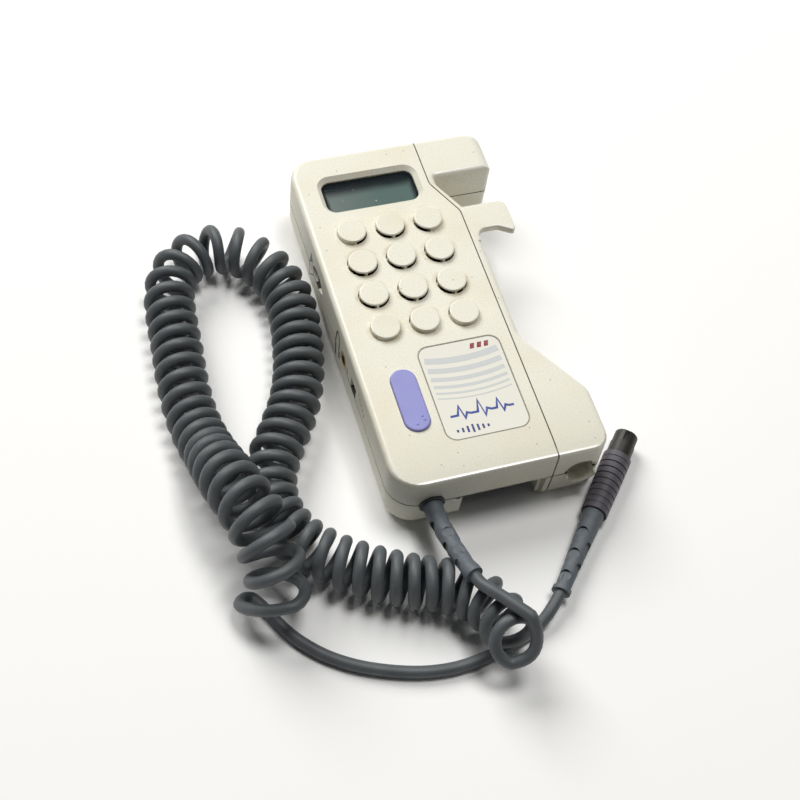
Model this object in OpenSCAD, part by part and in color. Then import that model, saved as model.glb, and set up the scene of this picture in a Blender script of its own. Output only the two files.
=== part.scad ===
// Hand-held ultrasound doppler: a two-part moulded housing with a loudspeaker grille of raised
// caps, a display, one power key and a probe holder down the right side. The curly probe lead
// lies beside it and ends in a push-pull connector.
// Origin: middle of the housing's rear face. +X right, +Y towards the display, +Z out of the front.

/* [Housing] */
// Width of the housing, holder included
body_w = 74; // [72:0.5:82]
// Length from the cord end to the display end
body_l = 140; // [138:0.5:156]
// Height from the rear face to the front face
body_h = 27; // [26:0.5:32]
// Thickness of the moulded walls
wall = 2.2; // [1.8:0.1:2.6]
// Height of the parting plane between the front and rear mouldings
split_z = 13.5; // [13:0.25:14.5]
// Radius of the edge round the front face
front_edge_r = 2.2; // [1:0.1:2.6]
// Radius of the edge round the rear face
rear_edge_r = 4; // [2:0.25:4.5]
// Corner radius at the cord end, on the left
foot_r = 10; // [6:0.5:12]
// Corner radius at the display end, on the left
head_r = 9; // [5:0.5:11]

/* [Probe holder] */
// Width of the holder at the cord end
holder_w = 18.5; // [17:0.5:20]
// Width of the narrow strip that the probe lies against
strip_w = 3; // [2.5:0.25:4]
// Length of the block at the display end
block_l = 18; // [15:0.5:21]
// How far the block's right side stands back from the shoulder's
block_inset = 0.5; // [0.25:0.25:3]
// Length of the shoulder along the right side
shoulder_l = 23; // [20:0.5:28]
// Length of the shoulder where it runs into the strip
shoulder_top_l = 48; // [44:0.5:56]
// Length of the hook over the probe
hook_l = 11.2; // [9:0.2:14]
// Thickness of the hook
hook_t = 3; // [2:0.25:4]
// Diameter of the channel through the shoulder
channel_d = 9.4; // [8:0.2:10]

/* [Loudspeaker grille] */
// Diameter of one grille cap
cap_d = 10.3; // [9:0.1:11.5]
// Height of a cap above the face
cap_rise = 1.8; // [1.4:0.1:2.4]
// Distance from one cap to the next
cap_spacing = 14; // [13:0.25:14.5]
// Width of the posts that carry a cap
post_w = 0.9; // [0.8:0.1:2]
// Diameter of the loudspeaker
speaker_d = 40; // [36:0.5:41]

/* [Display] */
// Width of the display window
window_w = 34.3; // [28:0.1:35]
// Length of the display window
window_l = 14.2; // [12:0.1:16]

/* [Power key] */
// Width of the key
key_w = 8.8; // [7:0.1:9.4]
// Length of the key
key_l = 24.2; // [18:0.2:26]
// How far the key stands above the face
key_rise = 0.9; // [0.8:0.05:1.6]
// Travel of the key
key_travel = 0.8; // [0.4:0.1:0.8]

/* [Label plate] */
// Width of the label plate
label_w = 29.2; // [24:0.2:30]
// Length of the label plate
label_l = 37.3; // [30:0.2:39]

/* [Side fittings] */
// Diameter of the volume wheel
wheel_d = 16; // [14:0.25:17]
// Thickness of the volume wheel
wheel_t = 2.4; // [1.8:0.1:2.8]
// Bore of the headphone jack
jack_d = 3.5; // [3:0.1:3.6]
// Width of the data socket's mouth
socket_w = 5.7; // [5:0.1:6.5]
// Height of the data socket's mouth
socket_h = 4.9; // [4.2:0.1:5]

/* [Battery] */
// Width of the battery
battery_w = 26.5; // [24:0.1:26.8]
// Length of the battery
battery_l = 48.5; // [44:0.1:49]
// Height of the battery
battery_h = 17.5; // [16:0.1:17.6]

/* [Cord] */
// Diameter of the lead
cord_d = 4; // [3.6:0.1:4]
// Radius of the curls at the middle of the lead
curl_r = 7; // [6.6:0.1:7]
// Radius of the stretched curls at the far end
far_curl_r = 8.3; // [7:0.1:8.4]

/* [Connector] */
// Length of the connector's strain relief
relief_l = 32; // [26:0.5:36]
// Length of the sliding sleeve
sleeve_l = 23.7; // [20:0.1:28]
// Diameter of the sleeve at its front lip
sleeve_d = 9.8; // [9.2:0.1:9.8]
// Diameter of the plug barrel
barrel_d = 8.5; // [8:0.1:8.8]
// Length of the plug barrel
barrel_l = 9.6; // [8:0.1:12]
// How far the sleeve slides back
sleeve_travel = 2; // [1:0.1:2.5]

/* [Hidden] */
$fn = 48;
over = 1;

// Clearances: pieces that drop in, and pieces that turn or slide on each other
fit = 0.15;
run = 0.05;

// Levels and lines that the pieces share, from the left side, the cord end and the rear face
roof_z = body_h - wall;
joint_x = body_w - holder_w;
strip_x = joint_x + strip_w;
block_x = body_w - block_inset;
under_y = body_l - block_l;
neck_step = 7.5;
neck_x = strip_x - neck_step;
neck_strip_w = 2.7;
neck_joint_x = neck_x - neck_strip_w;
slope_head = 3.5;
slope_foot = 18;
side_foot_r = 6;
block_r = 7;
block_roll_r = 4.5;
foot_roll_r = 50;
foot_roll_l = 9;
foot_roll_lift = 0.02;
shoulder_r = 8;
slope_r = 3;
neck_r = 1.5;
inner_r = 0.5;
block_foot_r = 2.4;
joint_bend_r = 6;
joint_rise = 0.5;
draft = 0.5;
parting_w = 0.4;
parting_depth = 0.3;
seam_w = 0.45;
seam_depth = 0.8;
arc_steps = 6;
edge_steps = 4;
least_r = 0.2;

// Hook
hook_from_top = 44.9;
hook_inset = 1.4;
hook_nib = 3.2;
hook_nib_w = 6.2;
hook_root = 5;
hook_fillet = 3.4;
hook_tip_r = 1;
hook_end_r = 3;
hook_edge_r = 0.8;
channel_in = 8.8;
channel_x = body_w - channel_in;
channel_lip = 1;
channel_lip_l = 1.2;
channel_wall = 1.8;

// Grille and loudspeaker
cap_cols = 3;
cap_rows = 4;
grille_x = 28.4;
grille_from_top = 58.2;
grille_y = body_l - grille_from_top;
cap_r = cap_d / 2;
cap_edge_r = 0.6;
cap_t = 0.6;
cap_lip = 0.2;
cap_hole_r = cap_r + cap_lip;
hub_r = 1.6;
sound_r = speaker_d / 2 + hub_r / 2;
cloth_t = 0.3;
flange_t = 1.3;
flange_w = 2.5;
basket_l = 5;
basket_r = 11;
basket_t = 0.8;
magnet_r = 10;
magnet_t = 3;
cone_t = 0.4;
dome_r = 5;
rim_w = 1.2;
rim_l = 1.8;

// Display
window_x = 26.55;
window_from_top = 18.85;
window_y = body_l - window_from_top;
window_r = 3.5;
window_bevel = 1.5;
pane_t = 1.2;
pane_lap = 2;
glass_t = 2;
frame_t = 3.8;
frame_w = 1.4;
strip_t = 2.5;
strip_l = 30;

// Power key and its switch
key_x = 14.2;
key_y = 31.3;
key_edge_r = 0.6;
key_flange_w = 0.9;
key_flange_t = 1.2;
key_gap = 0.1;
key_post_d = 5;
stem_d = 3.5;
stem_l = 3.7;
switch_w = 6;
switch_h = 5;

// Label plate
label_x = 36.2;
label_y = 31.85;
label_r = 4;
label_t = 0.35;
label_recess = 0.45;

// Boards
board_t = 1.6;
board_z = 11;
board_top = board_z + board_t;
board_gap = 0.8;
board_foot = 24;
column_w = 18;
board_head_gap = 10;
header_w = 9;
header_l = 3.8;
header_h = 4.4;
chip_l = 10;
chip_w = 7;
chip_t = 1.8;
chip_spacing = 14;

// Volume wheel, jack and socket
wheel_from_top = 47;
wheel_y = body_l - wheel_from_top;
wheel_back = 0.5;
wheel_x = wheel_d / 2 + wheel_back;
wheel_lift = 0.1;
pot_w = 9;
pot_h = 2.7;
shaft_d = 3;
wheel_z = board_top + pot_h + wheel_lift;
slot_l = 13;
slot_h = 6.1;
knurls = 24;
knurl_r = 0.4;
jack_y = 59;
jack_w = 7;
jack_l = 11.8;
jack_bore_l = 9;
jack_h = 5.8;
jack_z = board_top + jack_h / 2;
ring_w = 1.4;
socket_y = 46.85;
socket_rim = 1.4;
socket_l = 9;
socket_depth = 7;
socket_lift = 1;
socket_z = board_top + socket_lift + socket_h / 2;

// Battery bay, open at the back and the cord end because the cover is off
box_wall = 1.2;
bay_x = 24;
bay_r = joint_x - wall - box_wall - fit;
bay_l = 62;
bay_top = 19.5;
battery_x = (bay_x + bay_r) / 2;
catch_in = 2.2;
catch_w = 1.6;
catch_h = 1.3;
catch_depth = 0.9;
slit_in = 5;
slit_w = 2.2;
slit_h = 0.4;
snap_t = 2.5;
stud_l = 2;
stud_spacing = 12.7;
small_stud_r = 2.9;
large_stud_r = 3.9;
snap_h = 13;
battery_y = bay_l - snap_t - stud_l - battery_l;
battery_z = bay_top - battery_h;
battery_edge_r = 1.5;
wire_d = 1.2;
wire_spacing = 3;
wire_z = board_z + board_t / 2;

// Screws
boss_r = 3.2;
boss_in = 7.2;
boss_from_top = 6.1;
foot_boss_y = 12;
screw_d = 2.8;
screw_head_d = 5.2;
screw_head_t = 2;
screw_sink = 3;
screw_l = 17;
bite = 8;
post_d = 5.2;
board_screw_d = 2.4;
board_screw_head_d = 4.6;
board_screw_l = 6;
slot_w = 0.8;
slot_depth = 0.7;

// Gland and the lead's relief at the housing
gland_x = 13.4;
gland_r = 4.4;
gland_neck_r = 3.9;
gland_lip = 0.6;
gland_inner_t = 1.2;
lead_core_d = 3.2;
relief_start_r = 3.35;
relief_end_r = 2.7;
relief_sides = 16;
relief_flange = 0.35;
dimple_r = 2;
gland_dimples = 5;
first_dimple = 6;
dimple_step = 2.75;

// Routes, in millimetres from the origin
relief_route = [[-23.6, -70.6, 13.5], [-23.6, -73, 13.5], [-23.5, -76, 13.8], [-23.2, -79, 14.3],
    [-23, -82, 15], [-22.6, -85, 15.8], [-22.4, -88.2, 16.9], [-22.1, -91.3, 18.1],
    [-21.8, -94.7, 19.7], [-21.5, -98, 21.4], [-20.7, -101.6, 22.5]];
near_route = [[-20.7, -101.6, 22.5], [-19.8, -104.9, 23.1], [-17.5, -108.7, 24.5],
    [-15, -112.3, 25.5], [-12.2, -116.4, 26.1], [-9.8, -119.7, 26.4], [-8.4, -122.2, 26]];
// Each point of the curly part also carries the number of curls wound up to it
curl_route = [[-13.5, -127, 19.5, 0], [-13.5, -121, 15.5, 0.8], [-14.2, -114, 13, 1.7],
    [-16.5, -107, 10.8, 2.7], [-20.5, -101.5, 9.6, 3.65], [-27.5, -97, 9.2, 4.9],
    [-37, -93, 9.2, 6.8], [-47.5, -87.5, 9.2, 8.9], [-58, -80.5, 9.2, 11],
    [-66.5, -72, 9.2, 12.9], [-71.5, -62, 9.2, 14.6], [-72.3, -51, 9.2, 16.3],
    [-68.5, -40, 9.2, 18.1], [-62.5, -30.5, 9.2, 19.9], [-56.5, -20.5, 9.2, 21.9],
    [-52, -9, 9.2, 24], [-49, 4.5, 9.2, 26.5], [-47.5, 16, 9.2, 28.6], [-48, 27, 9.2, 30.5],
    [-52, 38, 9.2, 32.2], [-58.5, 45.7, 9.2, 33.5], [-67, 49.8, 9.2, 34.7],
    [-76, 48.6, 9.2, 35.8], [-83.3, 43.2, 9.2, 37], [-87.3, 35, 9.2, 38.3],
    [-89, 24, 9.2, 40], [-89.8, 11, 9.2, 42.2], [-90.8, -1.5, 9.2, 44.3],
    [-91, -14, 9.2, 46.3], [-90, -25.5, 10.5, 48.2], [-88.5, -36, 14.5, 50],
    [-87.5, -44.5, 19.8, 51.7], [-86, -52.5, 23.8, 53.2], [-83.8, -61, 26.3, 54.6],
    [-81.4, -69.5, 26.8, 55.8], [-79.9, -77.3, 24.6, 56.9], [-79.2, -83.7, 20, 57.8],
    [-79.3, -88.7, 14.5, 58.5], [-80, -91.3, 11.2, 58.9]];
tail_route = [[-91, -88.8, 9.3], [-90.6, -85.7, 6], [-88.6, -83.3, 3.3],
    [-86.2, -83.3, 2.2], [-84.4, -85.6, 2.1], [-82.6, -88.8, 2.1], [-80.2, -93.5, 2.1],
    [-77.4, -98.2, 2.1], [-73.5, -103, 2.1], [-68.5, -107.8, 2.1], [-62, -112.3, 2.1],
    [-55, -115.8, 2.1], [-47.6, -118.6, 2.1], [-40.2, -120.6, 2.1], [-32.4, -121.6, 2.1],
    [-25, -121.4, 2.1], [-17, -120.2, 2.1], [-10, -118.4, 2.1], [-4.5, -116.6, 2.2],
    [0, -114.5, 3], [3.8, -112, 4.3]];
first_curl = -0.08;
near_end_l = 2;
curl_rings = 8;
curl_sides = 6;
route_steps = 40;
spread_from = 50;
spread_curls = 6;
lead_sides = 8;
lead_steps = 2;
gap_samples = 3;

// Connector, along its own axis from the relief's end flange
connector_x = 9.4;
connector_y = -106.8;
connector_turn = 49.5;
connector_z = 5;
flange_r = 3.15;
flange_l = 1.4;
relief_tip_r = 2.45;
relief_root_r = 3.65;
relief_tuck = 3;
dimples = 5;
dimple_from = 5.3;
dimple_spacing = 4.25;
dimple_turn = 155;
dimple_deep = 0.9;
body_r = 3.5;
sleeve_rear_d = 9;
sleeve_lip_l = 2;
sleeve_waist_r = 4.35;
mouth_r = 4.05;
mouth_l = 5.5;
ribs = 8;
rib_t = 2;
barrel_gap = 0.2;
barrel_wall = 0.9;
barrel_root_l = 5.2;
barrel_tip_r = 4.05;
insert_l = 5;
insert_back = 2.6;
barrel_floor = 1.2;
pins = 6;
pin_d = 0.8;
pin_l = 6.6;
pin_ring_r = 1.9;
key_slot_w = 1.6;
key_slot_l = 4.2;

ivory = "#ECE9D8";
cord_grey = "#4E5557";
relief_grey = "#5A636B";
connector_grey = "#55555B";

// Moves a piece from the housing's left side and cord end to the origin
module at(x, y, z = 0) translate([x - body_w / 2, y - body_l / 2, z]) children();

function unit(v) = v / norm(v);
function left_of(v) = [-v.y, v.x];
function turned(v, a) = [v.x * cos(a) - v.y * sin(a), v.x * sin(a) + v.y * cos(a)];

// One rounded corner of an outline given as [x, y, radius], with the outline drawn in by inset
function corner_arc(c, i, inset) =
    let (here = c[i], back = c[(i + len(c) - 1) % len(c)], next = c[(i + 1) % len(c)],
         u = unit([here.x - back.x, here.y - back.y]), v = unit([next.x - here.x, next.y - here.y]),
         nu = left_of(u), nv = left_of(v),
         bend = atan2(u.x * v.y - u.y * v.x, u * v), side = sign(bend),
         r = max(here.z - side * inset, least_r),
         tip = [here.x, here.y] + inset * (nu + nv) / (1 + nu * nv),
         centre = tip - u * r * tan(abs(bend) / 2) + side * r * nu)
    [for (k = [0:arc_steps]) centre - side * r * turned(nu, bend * k / arc_steps)];
function outline(c, inset = 0) = [for (i = [0:len(c) - 1]) each corner_arc(c, i, inset)];

// Solid through the same outline at several [height, inset] levels. Its two ends are fans from the
// last point of the first corner, from which the whole outline is in sight
module loft(c, levels) {
    rings = [for (l = levels) [for (p = outline(c, l[1])) [p.x, p.y, l[0]]]];
    n = len(rings[0]);
    top = n * (len(rings) - 1);
    polyhedron(points = [for (r = rings) each r], faces = concat(
        [[for (k = [0:n - 1]) (arc_steps + k) % n]],
        [[for (k = [0:n - 1]) top + (arc_steps + n - k) % n]],
        [for (j = [0:len(rings) - 2]) for (k = [0:n - 1]) let (m = (k + 1) % n)
            [j * n + k, (j + 1) * n + k, (j + 1) * n + m, j * n + m]]));
}
module prism(c, low, high, inset = 0)
    translate([0, 0, low]) linear_extrude(high - low) polygon(outline(c, inset));
function box_corners(x, y, w, l, r) = [[x - w / 2, y - l / 2, r], [x + w / 2, y - l / 2, r],
    [x + w / 2, y + l / 2, r], [x - w / 2, y + l / 2, r]];

// Outline of the whole housing, anticlockwise from the left corner at the display end
body_corners = [[0, body_l, head_r], [0, 0, foot_r], [body_w, 0, side_foot_r],
    [body_w, shoulder_l, shoulder_r], [strip_x, shoulder_top_l, shoulder_r],
    [strip_x, under_y - slope_foot, slope_r], [neck_x, under_y - slope_head, neck_r],
    [neck_x, under_y, inner_r], [block_x, under_y, block_foot_r], [block_x, body_l, block_r]];
// The holder's side of the joint between the main housing and the probe holder
holder_corners = [[joint_x, -over, 0], [body_w + over, -over, 0],
    [body_w + over, body_l + over, 0], [neck_joint_x, body_l + over, 0],
    [neck_joint_x, under_y - slope_head + joint_rise, joint_bend_r],
    [joint_x, under_y - slope_foot + joint_rise, joint_bend_r]];
// The levels run straight on past both faces, where plane cuts end the mouldings
body_levels = concat(
    [[-over, rear_edge_r + draft]],
    [for (k = [0:edge_steps]) let (a = 90 * k / edge_steps, z = rear_edge_r * (1 - cos(a)))
        [z, rear_edge_r * (1 - sin(a)) + draft * (1 - z / split_z)]],
    [[split_z - parting_w / 2, 0], [split_z - parting_w / 2, parting_depth],
     [split_z + parting_w / 2, parting_depth], [split_z + parting_w / 2, 0]],
    [for (k = [0:edge_steps]) let (a = 90 * k / edge_steps)
        [body_h - front_edge_r * (1 - sin(a)), front_edge_r * (1 - cos(a))]],
    [[body_h + over, front_edge_r]]);

module body_form() at(0, 0) loft(body_corners, body_levels);
module holder_region(inset = 0) at(0, 0) prism(holder_corners, -over, body_h + over, inset);
module half_space(low, high)
    at(-over, -over, low) cube([body_w + 2 * over, body_l + 2 * over, high - low]);
module cavity() at(0, 0, wall) linear_extrude(roof_z - wall) difference() {
    polygon(outline(body_corners, wall));
    polygon(outline(holder_corners, -wall));
}
// The front face falls away gently at the cord end
module foot_roll() at(-over, 0) difference() {
    translate([0, -over, body_h - over]) cube([body_w + 2 * over, foot_roll_l + over, 2 * over]);
    translate([0, foot_roll_l, body_h - foot_roll_r + foot_roll_lift]) rotate([0, 90, 0])
        cylinder(r = foot_roll_r, h = body_w + 2 * over);
}
// Groove all round the outside along the joint with the probe holder
module seam_cut() difference() {
    holder_region(-seam_w);
    at(0, 0) intersection() {
        loft(body_corners, [for (l = body_levels) [l[0], l[1] + seam_depth]]);
        translate([0, 0, seam_depth]) cube([body_w, body_l, body_h - 2 * seam_depth]);
    }
}
module along_x(x, y, z, r, l) at(x, y, z) rotate([0, 90, 0]) cylinder(r = r, h = l);
module along_y(x, y, z, r, l) at(x, y, z) rotate([-90, 0, 0]) cylinder(r = r, h = l);
module upright(x, y, z, r, l) at(x, y, z) cylinder(r = r, h = l);
module block(x, y, z, w, l, h) at(x - w / 2, y - l / 2, z) cube([w, l, h]);
module oblong(x, y, z, w, l, h) {
    block(x, y, z, w, l - w, h);
    for (s = [-1, 1]) upright(x, y + s * (l - w) / 2, z, w / 2, h);
}

// Places that both halves of the housing share
boss_places = [[boss_in, foot_boss_y], [joint_x - wall - boss_r - board_gap, bay_l + box_wall + boss_r
    + board_gap], [boss_in, body_l - boss_from_top],
    [neck_joint_x - wall - boss_r - board_gap, body_l - boss_from_top]];
post_places = [[boss_in, grille_y - cap_spacing], [boss_in, grille_y + 2 * cap_spacing],
    [joint_x - wall - post_d, grille_y]];
module gland_hole() along_y(gland_x, -over, split_z, gland_neck_r + run, wall + 2 * over);
module jack_hole() along_x(-over, jack_y, jack_z, jack_d / 2 + ring_w + run, wall + 2 * over);

cap_places = [for (row = [0:cap_rows - 1]) for (col = [0:cap_cols - 1])
    [grille_x + (col - (cap_cols - 1) / 2) * cap_spacing,
     grille_y + ((cap_rows - 1) / 2 - row) * cap_spacing]];
// A quarter of a cap is open where it lies over the loudspeaker, and closed elsewhere
function quarter_open(p, q) = let (a = 45 + 90 * q)
    norm([p.x + cap_r * cos(a) - grille_x, p.y + cap_r * sin(a) - grille_y]) < sound_r + post_w / 2;

module grille_cap(p) at(p.x, p.y, body_h - over) rotate_extrude() union() {
    square([cap_r - cap_edge_r, over + cap_rise]);
    square([cap_r, over + cap_rise - cap_edge_r]);
    translate([cap_r - cap_edge_r, over + cap_rise - cap_edge_r]) circle(r = cap_edge_r);
}
module cap_window(p, q) at(p.x, p.y, roof_z - over) rotate([0, 0, 90 * q]) intersection() {
    translate([post_w / 2, post_w / 2, 0]) cube([cap_d, cap_d, wall + over + cap_rise - cap_t]);
    difference() {
        union() {
            cylinder(r = cap_hole_r, h = wall + over + cap_rise);
            translate([0, 0, wall + over]) cylinder(r = cap_spacing / 2, h = cap_rise);
        }
        translate([0, 0, -over]) cylinder(r = hub_r, h = wall + cap_rise + 3 * over);
    }
}

module front_shell() color(ivory) difference() {
    union() {
        difference() {
            intersection() {
                body_form();
                half_space(split_z, body_h);
            }
            holder_region();
            cavity();
        }
        for (p = cap_places) grille_cap(p);
        difference() {
            upright(grille_x, grille_y, roof_z - rim_l, speaker_d / 2 + fit + rim_w, rim_l);
            upright(grille_x, grille_y, roof_z - rim_l - over, speaker_d / 2 + fit, rim_l + 2 * over);
        }
        for (b = boss_places) upright(b.x, b.y, split_z, boss_r, roof_z - split_z);
    }
    seam_cut();
    for (p = cap_places) for (q = [0:3]) if (quarter_open(p, q)) cap_window(p, q);
    foot_roll();
    window_cut();
    at(0, 0) prism(box_corners(label_x, label_y, label_w + 2 * fit, label_l + 2 * fit, label_r),
        body_h - label_recess, body_h + over);
    oblong(key_x, key_y, roof_z - over, key_w + 2 * fit, key_l + 2 * fit, wall + 2 * over);
    wheel_slot();
    jack_hole();
    gland_hole();
    at(-over, socket_y - socket_w / 2, socket_z - socket_h / 2) cube([wall + 2 * over, socket_w, socket_h]);
    for (b = boss_places) upright(b.x, b.y, split_z - over, screw_d / 2 + run, bite + over);
}
module window_cut() at(0, 0) {
    plan = box_corners(window_x, window_y, window_w, window_l, window_r);
    loft(plan, [[roof_z - over, 0], [body_h - window_bevel, 0], [body_h, -window_bevel],
        [body_h + over, -window_bevel]]);
}
// Lens-shaped slot where two round cuts cross
slot_r = (slot_l * slot_l / 4 + slot_h * slot_h / 4) / slot_h;
module wheel_slot() intersection_for (s = [-1, 1])
    along_x(-over, wheel_y, wheel_z + wheel_t / 2 + s * (slot_r - slot_h / 2), slot_r, wall + 2 * over);

module rear_shell() color(ivory) difference() {
    union() {
        difference() {
            intersection() {
                body_form();
                half_space(0, split_z);
            }
            holder_region();
            cavity();
            seam_cut();
        }
        at(bay_x - box_wall, wall, wall)
            cube([bay_r - bay_x + 2 * box_wall, bay_l + box_wall - wall, split_z - wall]);
        at(bay_x - box_wall, wall + fit, wall) cube([bay_r - bay_x + 2 * box_wall,
            bay_l + box_wall - wall - fit, bay_top + box_wall - wall]);
        for (b = boss_places) upright(b.x, b.y, wall / 2, boss_r, split_z - wall / 2);
        for (p = post_places) upright(p.x, p.y, wall / 2, post_d / 2, board_z - wall / 2);
    }
    at(bay_x, -over, -over) cube([bay_r - bay_x, bay_l + over, bay_top + over]);
    at(bay_x, -over, -over) cube([joint_x - wall - bay_x, wall + over + fit, split_z + 2 * over]);
    jack_hole();
    gland_hole();
    at(bay_x - catch_in, -over, split_z - catch_h) cube([catch_w, over + catch_depth, catch_h]);
    at(bay_x - slit_in, -over, split_z - slit_h) cube([slit_w, over + catch_depth, slit_h]);
    for (b = boss_places) {
        upright(b.x, b.y, -over, screw_head_d / 2 + fit, screw_sink + over);
        upright(b.x, b.y, -over, screw_d / 2 + run, split_z + 2 * over);
    }
    for (p = post_places) upright(p.x, p.y, wall, board_screw_d / 2 + run, board_z);
    for (s = [-1, 1]) along_y(battery_x + s * wire_spacing / 2, bay_l - over, wire_z,
        wire_d / 2 + run, box_wall + 2 * over);
}

module channel(r, from, l) along_y(channel_x, from, split_z, r, l);
module holder_half(low, high) difference() {
    union() {
        intersection() {
            body_form();
            half_space(low, high);
            holder_region();
        }
        if (high > split_z) hook();
    }
    difference() {
        at(0, 0, wall) linear_extrude(roof_z - wall) intersection() {
            polygon(outline(body_corners, wall));
            polygon(outline(holder_corners, wall));
        }
        channel(channel_d / 2 + channel_wall, 0, body_l);
        at(joint_x, 0, 0) cube([strip_w + wall, body_l - block_l, body_h]);
    }
    channel(channel_d / 2, -over, shoulder_top_l + 2 * over);
}
module hook() {
    low_y = body_l - hook_from_top;
    tip_x = body_w - hook_inset;
    at(0, 0) loft([[joint_x, low_y + hook_l, 0], [joint_x, low_y - hook_root, 0],
        [strip_x, low_y - hook_root, 0], [strip_x, low_y, hook_fillet],
        [tip_x - hook_nib_w, low_y, hook_fillet], [tip_x - hook_tip_r, low_y - hook_nib, hook_tip_r],
        [tip_x, low_y - hook_nib / 2, hook_tip_r], [tip_x, low_y + hook_l, hook_end_r]],
        [[body_h - hook_t, hook_edge_r / 2], [body_h - hook_t + hook_edge_r / 2, 0],
         [body_h - hook_edge_r, 0], [body_h - hook_edge_r / 3, hook_edge_r / 3],
         [body_h, hook_edge_r]]);
}
module holder_front() color(ivory) difference() {
    holder_half(split_z, body_h);
    channel(channel_d / 2 + channel_lip, -over, over + channel_lip_l);
    foot_roll();
    at(block_x - block_roll_r, body_l + over, body_h - block_roll_r) rotate([90, 0, 0])
        linear_extrude(block_l + 2 * over) difference() {
            square(block_roll_r + over);
            circle(r = block_roll_r);
        }
}
module holder_rear() color(ivory) holder_half(0, split_z);

module display_window() color("#5F7570", 0.6) at(0, 0) prism(
    box_corners(window_x, window_y, window_w + 2 * pane_lap, window_l + 2 * pane_lap, window_r),
    roof_z - pane_t, roof_z);
module frame_plan(low, high, lap) at(0, 0) prism(
    box_corners(window_x, window_y, window_w + 2 * lap, window_l + 2 * lap, least_r), low, high);
module lcd_panel() color("#6B7F76")
    frame_plan(roof_z - pane_t - glass_t, roof_z - pane_t, pane_lap - frame_w);
module lcd_frame() color("#2A2C30") difference() {
    frame_plan(roof_z - pane_t - frame_t, roof_z - pane_t, pane_lap);
    frame_plan(roof_z - pane_t - glass_t, roof_z + over, pane_lap - frame_w + run);
    frame_plan(board_top, roof_z, -frame_w);
}
module lcd_connector() color("#3A3A3E") for (s = [-1, 1])
    block(window_x, window_y + s * (window_l / 2 + pane_lap - strip_t / 2), board_top,
        strip_l, strip_t, roof_z - pane_t - frame_t - board_top);

key_flange_z = roof_z - key_gap - key_flange_t;
stem_z = board_top + switch_h - key_travel - run;
module power_key() color("#9A9BD8") {
    at(0, 0) loft(box_corners(key_x, key_y, key_w, key_l, key_w / 2 - least_r), concat(
        [[key_flange_z + key_flange_t / 2, 0]],
        [for (k = [0:edge_steps]) let (a = 90 * k / edge_steps)
            [body_h + key_rise - key_edge_r * (1 - sin(a)), key_edge_r * (1 - cos(a))]]));
    oblong(key_x, key_y, key_flange_z, key_w + 2 * key_flange_w, key_l + 2 * key_flange_w, key_flange_t);
    upright(key_x, key_y, stem_z + stem_l, key_post_d / 2, key_flange_z - stem_z - stem_l);
}
module switch_stem() color("#D8D4C8") upright(key_x, key_y, stem_z, stem_d / 2, stem_l);
module power_switch() color("#303034") difference() {
    block(key_x, key_y, board_top, switch_w, switch_w, switch_h);
    upright(key_x, key_y, stem_z - key_travel - run, stem_d / 2 + run, switch_h);
}

module label_plate() color("#E6E4DA") at(0, 0) prism(
    box_corners(label_x, label_y, label_w, label_l, label_r),
    body_h - label_recess, body_h - label_recess + label_t);

module dust_cloth() color("#1A1A1C")
    upright(grille_x, grille_y, roof_z - cloth_t, speaker_d / 2, cloth_t);
module turned_at_grille(z) at(grille_x, grille_y, z) rotate_extrude() children();
module speaker_frame() color("#8A8D90") turned_at_grille(roof_z - cloth_t) polygon([
    [speaker_d / 2 - flange_w, -flange_t], [speaker_d / 2 - flange_w, 0], [speaker_d / 2, 0],
    [speaker_d / 2, -flange_t], [speaker_d / 2 - flange_w + basket_t, -flange_t - basket_t],
    [basket_r, -flange_t - basket_l], [0, -flange_t - basket_l],
    [0, basket_t - flange_t - basket_l], [basket_r - basket_t, basket_t - flange_t - basket_l]]);
module speaker_cone() color("#2B2B2E") turned_at_grille(roof_z - cloth_t) polygon([
    [speaker_d / 2 - flange_w, -cone_t], [speaker_d / 2 - flange_w, -2 * cone_t],
    [dome_r, -basket_l + flange_t], [0, -basket_l + flange_t], [0, -basket_l + flange_t + cone_t],
    [dome_r, -basket_l + flange_t + cone_t]]);
module speaker_magnet() color("#5C5E62") upright(grille_x, grille_y,
    roof_z - cloth_t - flange_t - basket_l - magnet_t, magnet_r, magnet_t);

board_right = joint_x - wall - board_gap;
board_neck = neck_joint_x - wall - board_gap;
board_head = body_l - board_head_gap;
board_step = bay_l + box_wall + board_gap;
module main_board() color("#2F6B45") difference() {
    at(0, 0, board_z) linear_extrude(board_t) polygon([
        [wall + board_gap, board_foot], [wall + board_gap + column_w, board_foot],
        [wall + board_gap + column_w, board_step], [board_right, board_step],
        [board_right, under_y - slope_foot - slope_head], [board_neck, under_y - 2 * slope_head],
        [board_neck, board_head], [wall + board_gap, board_head]]);
    upright(boss_places[1].x, boss_places[1].y, board_z - over, boss_r + fit, board_t + 2 * over);
    at(boss_places[1].x, board_step - over, board_z - over)
        cube([boss_r + board_gap + over, boss_r + board_gap + over, board_t + 2 * over]);
    for (p = post_places) upright(p.x, p.y, board_z - over, board_screw_d / 2 + run, board_t + 2 * over);
}
module board_chips() color("#1E1F22") {
    for (k = [0:2]) block(grille_x + (k - 1) * chip_spacing, grille_y - cap_spacing / 2, board_z - chip_t,
        chip_w, chip_l, chip_t);
    for (k = [0:1]) block(window_x + (k - 1 / 2) * chip_spacing, window_y, board_z - chip_t,
        chip_l, chip_w, chip_t);
    block(grille_x, grille_y + cap_spacing + chip_w, board_z - chip_t, chip_l, chip_w, chip_t);
}
module lead_header() color("#D9D5C6")
    block(gland_x, board_foot + header_l / 2, board_top, header_w, header_l, header_h);

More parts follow.
